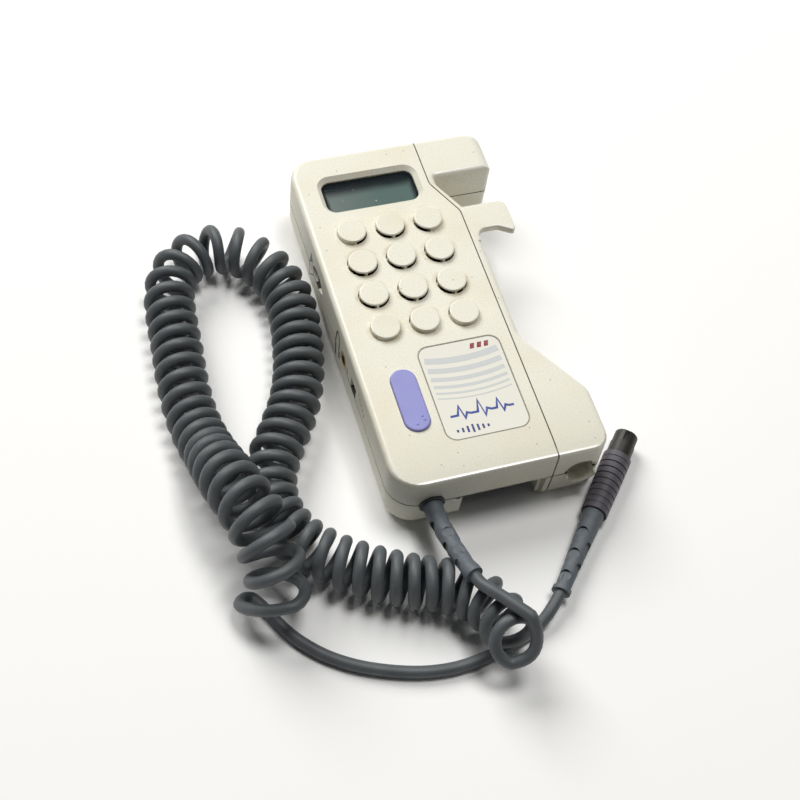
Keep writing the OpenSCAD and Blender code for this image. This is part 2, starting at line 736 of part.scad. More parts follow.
module volume_wheel() color("#2A2A2C") difference() {
    upright(wheel_x, wheel_y, wheel_z, wheel_d / 2, wheel_t);
    upright(wheel_x, wheel_y, wheel_z - over, shaft_d / 2 + run, wheel_t + 2 * over);
    for (k = [0:knurls - 1]) at(wheel_x, wheel_y, wheel_z - over) rotate([0, 0, 360 * k / knurls])
        translate([wheel_d / 2, 0, 0]) cylinder(r = knurl_r, h = wheel_t + 2 * over, $fn = 16);
}
module volume_pot() color("#43474B") {
    block(wheel_x, wheel_y, board_top, pot_w, pot_w, pot_h);
    upright(wheel_x, wheel_y, board_top, shaft_d / 2, pot_h + wheel_t + 2 * wheel_lift);
}
module headphone_jack() color("#26262A") difference() {
    at(wall, jack_y - jack_w / 2, board_top) cube([jack_l, jack_w, jack_h]);
    along_x(wall - over, jack_y, jack_z, jack_d / 2, jack_bore_l + over);
}
module jack_ring() color("#C9A24B") difference() {
    along_x(0, jack_y, jack_z, jack_d / 2 + ring_w, wall);
    along_x(-over, jack_y, jack_z, jack_d / 2 + fit, wall + 2 * over);
}
module data_socket() color("#3B3D42") difference() {
    at(wall, socket_y - socket_w / 2 - socket_rim, board_top)
        cube([socket_l, socket_w + 2 * socket_rim, socket_lift + socket_h + socket_rim]);
    at(wall - over, socket_y - socket_w / 2, socket_z - socket_h / 2)
        cube([socket_depth + over, socket_w, socket_h]);
}

module battery() color("#3D4A5C") at(battery_x, battery_y + battery_l, battery_z) rotate([90, 0, 0])
    linear_extrude(battery_l) polygon(outline(
        box_corners(0, battery_h / 2, battery_w, battery_h, battery_edge_r)));
module battery_snap() color("#202022") block(battery_x, bay_l - snap_t / 2,
    battery_z + (battery_h - snap_h) / 2, battery_w, snap_t, snap_h);
module snap_contacts() color("#C8CCD0") {
    along_y(battery_x - stud_spacing / 2, bay_l - snap_t - stud_l, battery_z + battery_h / 2,
        small_stud_r, stud_l);
    along_y(battery_x + stud_spacing / 2, bay_l - snap_t - stud_l, battery_z + battery_h / 2,
        large_stud_r, stud_l);
}
module battery_leads() color("#A03028") for (s = [-1, 1])
    along_y(battery_x + s * wire_spacing / 2, bay_l, wire_z, wire_d / 2, board_step - bay_l);

module screw(x, y, z, head, neck, l, down) at(x, y, z) mirror([0, 0, down ? 1 : 0]) difference() {
    union() {
        translate([0, 0, -screw_head_t]) cylinder(d = head, h = screw_head_t);
        cylinder(d = neck, h = l);
    }
    for (a = [0, 90]) rotate([0, 0, a]) translate([-head / 3, -slot_w / 2, -screw_head_t - over])
        cube([2 * head / 3, slot_w, slot_depth + over]);
}
module housing_screws() color("#9FA2A6")
    for (b = boss_places) screw(b.x, b.y, screw_sink, screw_head_d, screw_d, screw_l, false);
module board_screws() color("#9FA2A6") for (p = post_places)
    screw(p.x, p.y, board_top, board_screw_head_d, board_screw_d, board_screw_l, true);

module cable_gland() color("#33373B") difference() {
    union() {
        along_y(gland_x, -gland_lip, split_z, gland_r, gland_lip);
        along_y(gland_x, -gland_lip, split_z, gland_neck_r, wall + gland_lip + gland_inner_t);
        along_y(gland_x, wall, split_z, gland_r, gland_inner_t);
    }
    along_y(gland_x, wall + gland_inner_t - gland_lip, split_z, lead_core_d / 2, over);
}
module inner_lead() color(cord_grey) along_y(gland_x, wall + gland_inner_t - gland_lip, split_z,
    lead_core_d / 2, board_foot - wall - gland_inner_t + gland_lip);

// Tube swept along points, with a radius and a direction across it at each one
module swept(path, radii, across, sides) {
    n = len(path);
    heads = [for (i = [0:n - 1]) unit(path[min(i + 1, n - 1)] - path[max(i - 1, 0)])];
    points = [for (i = [0:n - 1]) let (b = unit(cross(heads[i], across[i])), a = cross(b, heads[i]))
        for (k = [0:sides - 1]) path[i] + radii[i] * (cos(360 * k / sides) * a
            + sin(360 * k / sides) * b)];
    polyhedron(points = points, faces = concat(
        [for (k = [1:sides - 2]) [0, k + 1, k]],
        [for (k = [1:sides - 2]) [0, k, k + 1] + (n - 1) * sides * [1, 1, 1]],
        [for (i = [0:n - 2]) for (k = [0:sides - 1]) let (m = (k + 1) % sides, p = i * sides)
            each [[p + k, p + m, p + sides + k], [p + m, p + sides + m, p + sides + k]]]));
}
// Smooth curve through points of any size, with steps samples to a span
function curve(p, steps) = let (n = len(p), last = n - 1) concat(
    [for (i = [0:last - 1]) let (a = i > 0 ? p[i - 1] : 2 * p[0] - p[1], b = p[i], c = p[i + 1],
        d = i < last - 1 ? p[i + 2] : 2 * p[last] - p[last - 1])
        for (k = [0:steps - 1]) let (t = k / steps)
            b + (c - a) * t / 2 + (2 * a - 5 * b + 4 * c - d) * t * t / 2
                + (3 * b - a - 3 * c + d) * t * t * t / 2],
    [p[last]]);
function upward(path) = [for (p = path) [0, 0, 1]];
function even(path, r) = [for (p = path) r];

module gland_relief() color(relief_grey) difference() {
    path = curve(relief_route, lead_steps);
    n = len(path) - 1;
    swept(path, [for (i = [0:n]) i < n - 1 ? relief_start_r + (relief_end_r - relief_start_r) * i / n
        : relief_end_r + relief_flange], upward(path), relief_sides);
    for (k = [0:gland_dimples - 1]) for (a = k % 2 == 0 ? [-90, 90] : [0])
        translate(path[round(first_dimple + k * dimple_step)]) rotate([0, a, 0])
            translate([0, 0, relief_end_r - dimple_deep / 2])
                cylinder(r = dimple_r, h = relief_start_r, $fn = 24);
}

// The curly part: a helix of curls about a smooth axis
function curl_samples() = curve(curl_route, route_steps);
last_curl = curl_route[len(curl_route) - 1][3];
function curl_tables(s) = [for (k = [0:2]) [for (p = s) [p[3], p[k]]]];
function axis_point(tables, c) = [for (t = tables) lookup(c, t)];
function curl_radius(c) = curl_r + (far_curl_r - curl_r)
    * min(max((c - spread_from) / spread_curls, 0), 1);
function curl_ring(tables, c) =
    let (x = axis_point(tables, c), d = 1 / curl_rings / 2, m = min(max(c, d), last_curl - d),
         t = unit(axis_point(tables, m + d) - axis_point(tables, m - d)),
         side = unit(cross(t, [0, 0, 1])), up = cross(side, t), a = 360 * c)
    [x, cos(a) * side - sin(a) * up];
function curl_helix() =
    let (tables = curl_tables(curl_samples()), count = round((last_curl - first_curl) * curl_rings),
         step = (last_curl - first_curl) / count)
    [for (i = [0:count]) let (c = first_curl + i * step, r = curl_ring(tables, c))
        [r[0] + curl_radius(c) * r[1], r[1]]];
// The helix with a short straight end at each side
function curl_path(h) = let (n = len(h) - 1) concat(
    [[h[0][0] - near_end_l * unit(h[1][0] - h[0][0]), h[0][1]]], h,
    [[h[n][0] + cord_d * unit(h[n][0] - h[n - 1][0]), h[n][1]]]);
// Least distance between two stretches of the tube more than half a curl apart, less its diameter
function curl_gap(p) =
    let (fine = [for (i = [0:len(p) - 2]) for (k = [0:gap_samples - 1])
            p[i] + (p[i + 1] - p[i]) * k / gap_samples],
         apart = curl_rings * gap_samples / 2)
    min([for (i = [0:len(fine) - apart - 1]) for (j = [i + apart:len(fine) - 1])
        norm(fine[i] - fine[j])]) - cord_d;
module curly_lead() color(cord_grey) {
    whole = curl_path(curl_helix());
    path = [for (p = whole) p[0]];
    echo(curly_lead_least_gap_mm = curl_gap(path));
    echo(curly_lead_length_mm = sum_of([for (i = [1:len(path) - 1]) norm(path[i] - path[i - 1])]));
    echo(curly_lead_ends = path[0], path[1], path[len(path) - 2], path[len(path) - 1]);
    swept(path, even(path, cord_d / 2), [for (p = whole) p[1]], curl_sides);
}
function sum_of(v) = [for (i = 0, s = v[0]; i < len(v); i = i + 1, s = s + (i < len(v) ? v[i] : 0)) s][
    len(v) - 1];

module near_lead() color(cord_grey) {
    h = curl_path(curl_helix());
    path = curve(concat(near_route, [h[0][0]]), lead_steps);
    swept(path, even(path, cord_d / 2), upward(path), lead_sides);
}
module tail_lead() color(cord_grey) {
    h = curl_path(curl_helix());
    path = curve(concat([h[len(h) - 1][0]], tail_route,
        [[connector_x, connector_y, connector_z]]), lead_steps);
    swept(path, even(path, cord_d / 2), upward(path), lead_sides);
}

// Pieces of the connector are drawn along +Z from the relief's end flange, then laid down
module on_connector(from = 0) translate([connector_x, connector_y, connector_z])
    rotate([0, 0, connector_turn]) rotate([0, 90, 0]) translate([0, 0, from]) children();
module connector_relief() color(relief_grey) on_connector() difference() {
    union() {
        cylinder(r = flange_r, h = flange_l);
        cylinder(r1 = relief_tip_r, r2 = relief_root_r, h = relief_l);
        translate([0, 0, relief_l]) cylinder(r = relief_root_r, h = relief_tuck);
    }
    for (k = [0:dimples - 1]) let (z = dimple_from + k * dimple_spacing,
        r = relief_tip_r + (relief_root_r - relief_tip_r) * z / relief_l)
        for (a = [0, 180]) rotate([0, 0, dimple_turn + 90 * (k % 2) + a])
            translate([r - dimple_deep, 0, z]) rotate([0, 90, 0]) cylinder(r = dimple_r, h = relief_root_r);
}
module connector_sleeve() color(connector_grey) on_connector(relief_l) difference() {
    union() {
        cylinder(r = sleeve_waist_r, h = sleeve_l);
        cylinder(d = sleeve_rear_d, h = sleeve_lip_l);
        translate([0, 0, sleeve_l - sleeve_lip_l]) cylinder(d = sleeve_d, h = sleeve_lip_l);
        for (k = [0:ribs - 1]) let (share = (k + 1 / 2) / ribs)
            translate([0, 0, sleeve_lip_l + share * (sleeve_l - 2 * sleeve_lip_l) - rib_t / 2])
                cylinder(d = sleeve_rear_d + share * (sleeve_d - sleeve_rear_d), h = rib_t);
    }
    translate([0, 0, -over]) cylinder(r = mouth_r, h = mouth_l + over);
    translate([0, 0, -over]) cylinder(r = body_r + run, h = sleeve_l + 2 * over);
}
module connector_body() color(connector_grey) on_connector(relief_l + relief_tuck)
    cylinder(r = body_r, h = sleeve_l - relief_tuck + barrel_gap);
module connector_barrel() color("#33322E") on_connector(relief_l + sleeve_l + barrel_gap)
    difference() {
        union() {
            cylinder(d = barrel_d, h = barrel_root_l);
            cylinder(r = barrel_tip_r, h = barrel_l);
        }
        translate([0, 0, barrel_floor]) cylinder(r = barrel_d / 2 - barrel_wall, h = barrel_l);
        for (s = [0, 1]) rotate([0, 0, 180 * s]) translate([0, -key_slot_w / 2, barrel_l - key_slot_l])
            cube([barrel_d, key_slot_w, key_slot_l + over]);
    }
insert_z = relief_l + sleeve_l + barrel_gap + barrel_floor;
module pin_places(r) for (k = [0:pins]) rotate([0, 0, 360 * k / pins])
    translate([k < pins ? pin_ring_r : 0, 0, 0]) children();
module contact_insert() color("#1C1C1E") on_connector(insert_z) difference() {
    cylinder(r = barrel_d / 2 - barrel_wall - run, h = barrel_l - barrel_floor - insert_back);
    pin_places() translate([0, 0, over]) cylinder(d = pin_d + 2 * run, h = barrel_l);
}
module contact_pins() color("#C9A24B") on_connector(insert_z) pin_places()
    translate([0, 0, over]) cylinder(d = pin_d, h = pin_l - over, $fn = 16);

front_shell();
rear_shell();
holder_front();
holder_rear();
display_window();
lcd_panel();
lcd_frame();
lcd_connector();
power_key();
switch_stem();
power_switch();
label_plate();
dust_cloth();
speaker_frame();
speaker_cone();
speaker_magnet();
main_board();
board_chips();
volume_wheel();
volume_pot();
headphone_jack();
jack_ring();
data_socket();
battery();
battery_snap();
snap_contacts();
battery_leads();
housing_screws();
board_screws();
cable_gland();
inner_lead();
lead_header();
gland_relief();
near_lead();
curly_lead();
tail_lead();
connector_relief();
connector_sleeve();
connector_body();
connector_barrel();
contact_insert();
contact_pins();
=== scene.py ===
# Hand-held ultrasound doppler lying on a pale table, with its curly probe lead beside it.
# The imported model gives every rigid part; this script adds the camera, the lead, the lights,
# the finishes, the printing and a few small trims.
import bpy
import math
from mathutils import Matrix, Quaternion, Vector


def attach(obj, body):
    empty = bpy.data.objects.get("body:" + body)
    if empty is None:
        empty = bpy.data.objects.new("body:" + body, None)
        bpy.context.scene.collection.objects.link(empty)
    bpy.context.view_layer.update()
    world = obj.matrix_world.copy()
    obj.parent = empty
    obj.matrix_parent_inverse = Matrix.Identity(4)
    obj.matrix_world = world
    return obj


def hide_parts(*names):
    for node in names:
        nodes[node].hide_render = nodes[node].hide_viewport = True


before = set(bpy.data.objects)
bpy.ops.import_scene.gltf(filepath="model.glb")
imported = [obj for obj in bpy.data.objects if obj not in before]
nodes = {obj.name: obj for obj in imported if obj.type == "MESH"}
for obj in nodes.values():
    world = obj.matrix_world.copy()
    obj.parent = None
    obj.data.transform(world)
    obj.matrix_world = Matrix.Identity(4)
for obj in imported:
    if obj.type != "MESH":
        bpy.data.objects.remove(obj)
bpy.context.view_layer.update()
mm = 0.001
print("frame loaded with", len(nodes), "nodes")


# Small helpers for objects, meshes and materials
def addObject(name, data):
    obj = bpy.data.objects.new(name, data)
    bpy.context.scene.collection.objects.link(obj)
    return obj


def linearColour(code):
    # sRGB hex to linear
    parts = [int(code[i:i + 2], 16) / 255 for i in (1, 3, 5)]
    return tuple(c / 12.92 if c <= 0.04045 else ((c + 0.055) / 1.055) ** 2.4 for c in parts) + (1.0,)


def addNode(tree, kind, settings=None, links=None):
    # a setting is a property of the node or the value of an input; a link joins a source to an input
    node = tree.nodes.new(kind)
    for key, value in (settings or {}).items():
        if isinstance(key, str) and hasattr(node, key):
            setattr(node, key, value)
        else:
            node.inputs[key].default_value = value
    for key, source in (links or {}).items():
        tree.links.new(source, node.inputs[key])
    return node


def startMaterial(name):
    # gives the tree, the main shader and a position in millimetres from the part's origin
    material = bpy.data.materials.new(name)
    material.use_nodes = True
    tree = material.node_tree
    shader = tree.nodes["Principled BSDF"]
    spot = addNode(tree, "ShaderNodeTexCoord").outputs["Object"]
    place = addNode(tree, "ShaderNodeMapping", {"Scale": (1 / mm,) * 3}, {"Vector": spot}).outputs[0]
    return material, tree, shader, place


# Shading of the exact parts: split faces are welded and shallow edges smoothed, so that rounded edges
# read round. The weld is in millimetres and the angle in degrees
shading = {"weld": 0.003, "angle": 32, "weight": 100}


def makeSmoothGroup():
    group = bpy.data.node_groups.new("smoothByAngle", "GeometryNodeTree")
    group.interface.new_socket("Mesh", in_out="INPUT", socket_type="NodeSocketGeometry")
    group.interface.new_socket("Mesh", in_out="OUTPUT", socket_type="NodeSocketGeometry")
    angle = group.interface.new_socket("Angle", in_out="INPUT", socket_type="NodeSocketFloat")
    start = addNode(group, "NodeGroupInput")
    bend = addNode(group, "GeometryNodeInputMeshEdgeAngle").outputs[0]
    sharp = addNode(group, "FunctionNodeCompare", {"operation": "GREATER_THAN"},
                    {0: bend, 1: start.outputs["Angle"]}).outputs[0]
    shade = addNode(group, "GeometryNodeSetShadeSmooth", {"domain": "EDGE", "Shade Smooth": False},
                    {0: start.outputs["Mesh"], 1: sharp})
    addNode(group, "NodeGroupOutput", {}, {"Mesh": shade.outputs[0]})
    return group, angle.identifier


smoothGroup, smoothAngle = makeSmoothGroup()


def smoothShape(obj, angle=shading["angle"]):
    for polygon in obj.data.polygons:
        polygon.use_smooth = True
    custom = obj.data.attributes.get("custom_normal")
    if custom:
        obj.data.attributes.remove(custom)
    weld = obj.modifiers.new("weld", "WELD")
    weld.merge_threshold = shading["weld"] * mm
    smooth = obj.modifiers.new("smooth", "NODES")
    smooth.node_group = smoothGroup
    smooth[smoothAngle] = math.radians(angle)
    even = obj.modifiers.new("even", "WEIGHTED_NORMAL")
    even.keep_sharp = True
    even.weight = shading["weight"]


def addLathe(name, rings, place, turned, body, sides):
    # each ring is a radius and a height along the axis, in millimetres
    corners, faces = [], []
    for radius, height in rings:
        for k in range(sides):
            angle = 2 * math.pi * k / sides
            corners.append(Vector((radius * math.cos(angle), radius * math.sin(angle), height)))
    for j in range(len(rings) - 1):
        for k in range(sides):
            m = (k + 1) % sides
            faces.append((j * sides + k, j * sides + m, (j + 1) * sides + m, (j + 1) * sides + k))
    mesh = bpy.data.meshes.new(name)
    spin = turned.to_matrix()
    mesh.from_pydata([(spin @ corner + Vector(place)) * mm for corner in corners], [], faces)
    for polygon in mesh.polygons:
        polygon.use_smooth = True
    obj = addObject(name, mesh)
    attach(obj, body)
    return obj


# Camera, at the angle the object was seen from: places in millimetres, roll in degrees, clip in metres
camera = {"place": (-134.0, -272.1, 423.0), "aim": (-18.6, -21.7, 0.0), "roll": 9.58,
          "lens": 65.3, "sensor": 36, "clip": (0.01, 20)}


def placeCamera():
    data = bpy.data.cameras.new("studioCamera")
    data.lens = camera["lens"]
    data.sensor_width = camera["sensor"]
    data.clip_start, data.clip_end = camera["clip"]
    obj = addObject("studioCamera", data)
    place = Vector(camera["place"]) * mm
    level = (Vector(camera["aim"]) * mm - place).to_track_quat("-Z", "Y")
    obj.rotation_mode = "QUATERNION"
    obj.rotation_quaternion = level @ Quaternion((0, 0, 1), math.radians(camera["roll"]))
    obj.location = place
    bpy.context.scene.camera = obj


placeCamera()
print("camera placed")


# Probe lead: straight out of the gland, through the curls and along the table to its connector.
# Its route is in metres, as chosen for the model's own lead
lead = {
    "diameter": 0.004, "length": 2.87, "curlRadius": 0.007, "farCurlRadius": 0.0083,
    "spreadFrom": 50, "spreadCurls": 6,    # the curls open up to the far radius over these
    "firstCurl": 0.06, "stepsPerCurl": 24,
    "axisSteps": 40, "axisReach": 1 / 16,  # steps between axis points; share of a curl sighted along
    "lineSteps": 4, "joinReach": 6, "joinPasses": (14, 10), "bevel": 5,
    "relief": [(-0.0236, -0.0706, 0.0135), (-0.0236, -0.073, 0.0135), (-0.0235, -0.076, 0.0138),
               (-0.0232, -0.079, 0.0143), (-0.023, -0.082, 0.015), (-0.0226, -0.085, 0.0158),
               (-0.0224, -0.0882, 0.0169), (-0.0221, -0.0913, 0.0181), (-0.0218, -0.0947, 0.0197),
               (-0.0215, -0.098, 0.0214), (-0.0207, -0.1016, 0.0225)],
    "near": [(-0.0198, -0.1049, 0.0231), (-0.0175, -0.1087, 0.0245), (-0.015, -0.1123, 0.0255),
             (-0.0122, -0.1164, 0.0261), (-0.0098, -0.1197, 0.0264), (-0.0084, -0.1222, 0.026)],
    # each point of the curly part also carries the number of curls wound up to it
    "curls": [(-0.0135, -0.127, 0.0195, 0), (-0.0135, -0.121, 0.0155, 0.8), (-0.0142, -0.114, 0.013, 1.7),
              (-0.0165, -0.107, 0.0108, 2.7), (-0.0205, -0.1015, 0.0096, 3.65),
              (-0.0275, -0.097, 0.0092, 4.9), (-0.037, -0.093, 0.0092, 6.8),
              (-0.0475, -0.0875, 0.0092, 8.9), (-0.058, -0.0805, 0.0092, 11),
              (-0.0665, -0.072, 0.0092, 12.9), (-0.0715, -0.062, 0.0092, 14.6),
              (-0.0723, -0.051, 0.0092, 16.3), (-0.0685, -0.04, 0.0092, 18.1),
              (-0.0625, -0.0305, 0.0092, 19.9), (-0.0565, -0.0205, 0.0092, 21.9),
              (-0.052, -0.009, 0.0092, 24), (-0.049, 0.0045, 0.0092, 26.5), (-0.0475, 0.016, 0.0092, 28.6),
              (-0.048, 0.027, 0.0092, 30.5), (-0.052, 0.038, 0.0092, 32.2), (-0.0585, 0.0457, 0.0092, 33.5),
              (-0.067, 0.0498, 0.0092, 34.7), (-0.076, 0.0486, 0.0092, 35.8), (-0.0833, 0.0432, 0.0092, 37),
              (-0.0873, 0.035, 0.0092, 38.3), (-0.089, 0.024, 0.0092, 40), (-0.0898, 0.011, 0.0092, 42.2),
              (-0.0908, -0.0015, 0.0092, 44.3), (-0.091, -0.014, 0.0092, 46.3),
              (-0.09, -0.0255, 0.0105, 48.2), (-0.0885, -0.036, 0.0145, 50),
              (-0.0875, -0.0445, 0.0198, 51.7), (-0.086, -0.0525, 0.0238, 53.2),
              (-0.0838, -0.061, 0.0263, 54.6), (-0.0814, -0.0695, 0.0268, 55.8),
              (-0.0799, -0.0773, 0.0246, 56.9), (-0.0792, -0.0837, 0.02, 57.8),
              (-0.0793, -0.0887, 0.0145, 58.5), (-0.08, -0.0913, 0.0112, 58.9)],
    "tail": [(-0.091, -0.0888, 0.0093), (-0.0906, -0.0857, 0.006), (-0.0886, -0.0833, 0.0033),
             (-0.0862, -0.0833, 0.0022), (-0.0844, -0.0856, 0.0021), (-0.0826, -0.0888, 0.0021),
             (-0.0802, -0.0935, 0.0021), (-0.0774, -0.0982, 0.0021), (-0.0735, -0.103, 0.0021),
             (-0.0685, -0.1078, 0.0021), (-0.062, -0.1123, 0.0021), (-0.055, -0.1158, 0.0021),
             (-0.0476, -0.1186, 0.0021), (-0.0402, -0.1206, 0.0021), (-0.0324, -0.1216, 0.0021),
             (-0.025, -0.1214, 0.0021), (-0.017, -0.1202, 0.0021), (-0.01, -0.1184, 0.0021),
             (-0.0045, -0.1166, 0.0022), (0, -0.1145, 0.003), (0.0038, -0.112, 0.0043)],
    "connector": (0.0094, -0.1068, 0.005), "intoConnector": 0.006, "connectorTurn": 49.5,
    "held": ["cable_gland", "gland_relief", "connector_relief", "connector_sleeve", "connector_body",
             "connector_barrel", "contact_insert", "contact_pins"],
}


def smoothLine(points, steps):
    # Catmull-Rom curve through points of any size
    line, last = [], len(points) - 1
    for i in range(last):
        b, c = Vector(points[i]), Vector(points[i + 1])
        a = Vector(points[i - 1]) if i else 2 * b - c
        d = Vector(points[i + 2]) if i < last - 1 else 2 * c - b
        for k in range(steps):
            t = k / steps
            line.append(b + (c - a) * t / 2 + (2 * a - 5 * b + 4 * c - d) * t * t / 2
                        + (3 * b - a - 3 * c + d) * t ** 3 / 2)
    return line + [Vector(points[last])]


def curlPoints():
    samples = smoothLine(lead["curls"], lead["axisSteps"])
    firstCurl, lastCurl = lead["firstCurl"], lead["curls"][-1][3]

    def axisAt(turn):
        i = 1
        while i < len(samples) - 1 and samples[i][3] < turn:
            i += 1
        low, high = samples[i - 1], samples[i]
        share = (turn - low[3]) / (high[3] - low[3])
        return Vector(low[:3]).lerp(Vector(high[:3]), share)

    reach = lead["axisReach"]
    count = round((lastCurl - firstCurl) * lead["stepsPerCurl"])
    line = []
    for i in range(count + 1):
        turn = firstCurl + (lastCurl - firstCurl) * i / count
        middle = min(max(turn, reach), lastCurl - reach)
        along = (axisAt(middle + reach) - axisAt(middle - reach)).normalized()
        side = along.cross(Vector((0, 0, 1))).normalized()
        up = side.cross(along)
        spread = min(max((turn - lead["spreadFrom"]) / lead["spreadCurls"], 0), 1)
        radius = lead["curlRadius"] + (lead["farCurlRadius"] - lead["curlRadius"]) * spread
        angle = 2 * math.pi * turn
        line.append(axisAt(turn) + radius * (math.cos(angle) * side - math.sin(angle) * up))
    return line


def easeJoin(line, middle, passes):
    # rounds off the small bend where two stretches of the lead meet
    low, high = middle - lead["joinReach"], middle + lead["joinReach"]
    for i in range(passes):
        line[low:high] = [(line[k - 1] + 2 * line[k] + line[k + 1]) / 4 for k in range(low, high)]


def plugDirection():
    turn = math.radians(lead["connectorTurn"])
    return Vector((math.cos(turn), math.sin(turn), 0))


def leadLine():
    curls = curlPoints()
    start = smoothLine(lead["relief"] + lead["near"] + [tuple(curls[0])], lead["lineSteps"])[:-1]
    tip = Vector(lead["connector"]) + lead["intoConnector"] * plugDirection()
    places = [tuple(curls[-1])] + lead["tail"] + [lead["connector"], tuple(tip)]
    line = start + curls + smoothLine(places, lead["lineSteps"])[1:]
    easeJoin(line, len(start), lead["joinPasses"][0])
    easeJoin(line, len(start) + len(curls), lead["joinPasses"][1])
    return line


# Round shroud inside the plug's barrel; its mouth stands a little out of the split tip.
# Each ring is a radius and a distance past the place where it starts, in millimetres
shroud = {"from": 55.9, "sides": 40,
          "rings": [(3.25, 7.05), (3.25, 9.95), (3.15, 10.1), (2.85, 10.1), (2.75, 9.95), (2.75, 7.05)]}


def makeShroud():
    along = plugDirection()
    place = Vector(lead["connector"]) / mm + shroud["from"] * along
    turned = Vector((0, 0, 1)).rotation_difference(along)
    return addLathe("contactShroud", shroud["rings"], place, turned, "root", shroud["sides"])


def tubeMesh(line):
    data = bpy.data.curves.new("probeLead", "CURVE")
    data.dimensions = "3D"
    data.bevel_depth = lead["diameter"] / 2
    data.bevel_resolution = lead["bevel"]
    data.use_fill_caps = True
    spline = data.splines.new("POLY")
    spline.points.add(len(line) - 1)
    for point, place in zip(spline.points, line):
        point.co = (*place, 1)
    tube = addObject("leadTube", data)
    mesh = bpy.data.meshes.new_from_object(tube.evaluated_get(bpy.context.evaluated_depsgraph_get()))
    bpy.data.objects.remove(tube)
    bpy.data.curves.remove(data)
    mesh.materials.clear()
    for polygon in mesh.polygons:
        polygon.use_smooth = True
    return mesh


def makeLead():
    line = leadLine()
    obj = addObject("probeLead", tubeMesh(line))
    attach(obj, "root")
    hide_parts("near_lead", "curly_lead", "tail_lead")
    return obj


contactShroud = makeShroud()
probeLead = makeLead()
print("probe lead laid")


# Floor and lights. The lamps keep clear of the mirror direction of the front face, which stays satin
studio = {
    "floorSize": 8.0, "floorColour": "#FFFFFF", "floorRoughness": 0.85,
    "skyColour": "#FFFFFF", "skyStrength": 0.035, "lampColour": "#FFFEFB",
    "lamps": {
        "overhead": {"place": (450, 260, 2250), "shape": "ELLIPSE", "size": (750, 750),
                     "watts": 22.0, "aimed": True},
        # a narrow one that lights a thin line along the rounded edge at the cord end, which also has a
        # painted highlight
        "edgeStrip": {"place": (505, -330, 2000), "shape": "RECTANGLE", "size": (130, 900),
                      "watts": 2.4, "aimed": False},
        "behind": {"place": (-500, 1500, 1500), "shape": "ELLIPSE", "size": (1500, 1500),
                   "watts": 39.5, "aimed": True}}}


def makeFloor():
    half = studio["floorSize"] / 2
    corners = [(-half, -half, 0), (half, -half, 0), (half, half, 0), (-half, half, 0)]
    mesh = bpy.data.meshes.new("paperFloor")
    mesh.from_pydata(corners, [], [(0, 1, 2, 3)])
    addObject("paperFloor", mesh)
    material, _, shader, _ = startMaterial("mattPaperSweep")  # seamless background paper, matt and white
    shader.inputs["Base Color"].default_value = linearColour(studio["floorColour"])
    shader.inputs["Roughness"].default_value = studio["floorRoughness"]
    mesh.materials.append(material)


def makeLamps():
    for name, lamp in studio["lamps"].items():
        data = bpy.data.lights.new(name, "AREA")
        data.shape = lamp["shape"]
        data.size, data.size_y = (length * mm for length in lamp["size"])
        data.energy = lamp["watts"]
        data.color = linearColour(studio["lampColour"])[:3]
        obj = addObject(name, data)
        obj.location = Vector(lamp["place"]) * mm
        if lamp["aimed"]:
            obj.rotation_euler = (-obj.location).to_track_quat("-Z", "Y").to_euler()


def makeSky():
    world = bpy.data.worlds.new("softRoom")
    bpy.context.scene.world = world
    world.use_nodes = True
    sky = world.node_tree.nodes["Background"]
    sky.inputs["Color"].default_value = linearColour(studio["skyColour"])
    sky.inputs["Strength"].default_value = studio["skyStrength"]


makeFloor()
makeLamps()
makeSky()
bpy.context.scene.view_settings.view_transform = "Standard"
print("studio lit")


# Finishes. Each row: colour, second colour, roughness, patch size mm, grain size mm, grain depth mm.
# The two colours mix in soft patches. Real grain is about 0.05 mm; it is drawn at 0.2 to 0.6 mm
# so that it shows
finishes = {
    "blackAbs": ("#101012", "#17171A", 0.5, 4.0, 0.3, 0.01),  # moulded: near black, satin
    "greySilicone": ("#3A3A3E", "#424248", 0.6, 3.0, 0.3, 0.01),  # moulded: dull and soft
    "lavenderSilicone": ("#9A9BD8", "#8F91D0", 0.5, 5.0, 0.5, 0.03),  # moulded: soft sheen, mottled
    "acetalStem": ("#D8D4C8", "#CFCABC", 0.4, 2.0, 0.3, 0.005),  # moulded: waxy off-white
    "acousticCloth": ("#121214", "#1C1C1F", 0.95, 2.0, 0.25, 0.05),  # woven: black with no shine
    "paperCone": ("#2B2B2E", "#34343A", 0.85, 3.0, 0.3, 0.03),  # pressed pulp: fibrous and matt
    "ferriteMagnet": ("#4A4B4E", "#57585C", 0.6, 2.0, 0.2, 0.01),  # sintered and ground: dull grey
    "greenSolderMask": ("#2F6B45", "#28603D", 0.35, 5.0, 0.5, 0.005),  # cured lacquer: green, half gloss
    "blackEpoxy": ("#1E1F22", "#26272B", 0.55, 2.0, 0.2, 0.01),  # moulded chip cases: fine matt
    "nylonHeader": ("#D9D5C6", "#CDC8B6", 0.5, 3.0, 0.3, 0.01),  # moulded: milky
    "batterySleeve": ("#2C3A55", "#26334B", 0.3, 10.0, 0.6, 0.004),  # shrunk film: smooth dark blue
    "redPvcWire": ("#A03028", "#8E2A24", 0.4, 3.0, 0.3, 0.01),  # extruded: smooth red
    "labelFilm": ("#EFEDE3", "#E9E7DC", 0.35, 10.0, 0.4, 0.003),  # printed polyester: flat and smooth
    "cordPolyurethane": ("#63686B", "#494E52", 0.5, 7.0, 0.35, 0.03),  # extruded: slate grey, satin, cloudy
    "reliefRubber": ("#6A7178", "#555C63", 0.58, 1.6, 0.3, 0.05),  # moulded: duller than the lead
    "barrelResin": ("#302F2A", "#23221F", 0.45, 2.2, 0.3, 0.02),  # moulded: dark, slightly brown
    "glandRubber": ("#2E3236", "#24282C", 0.5, 3.0, 0.3, 0.02),  # moulded: dark collar
}
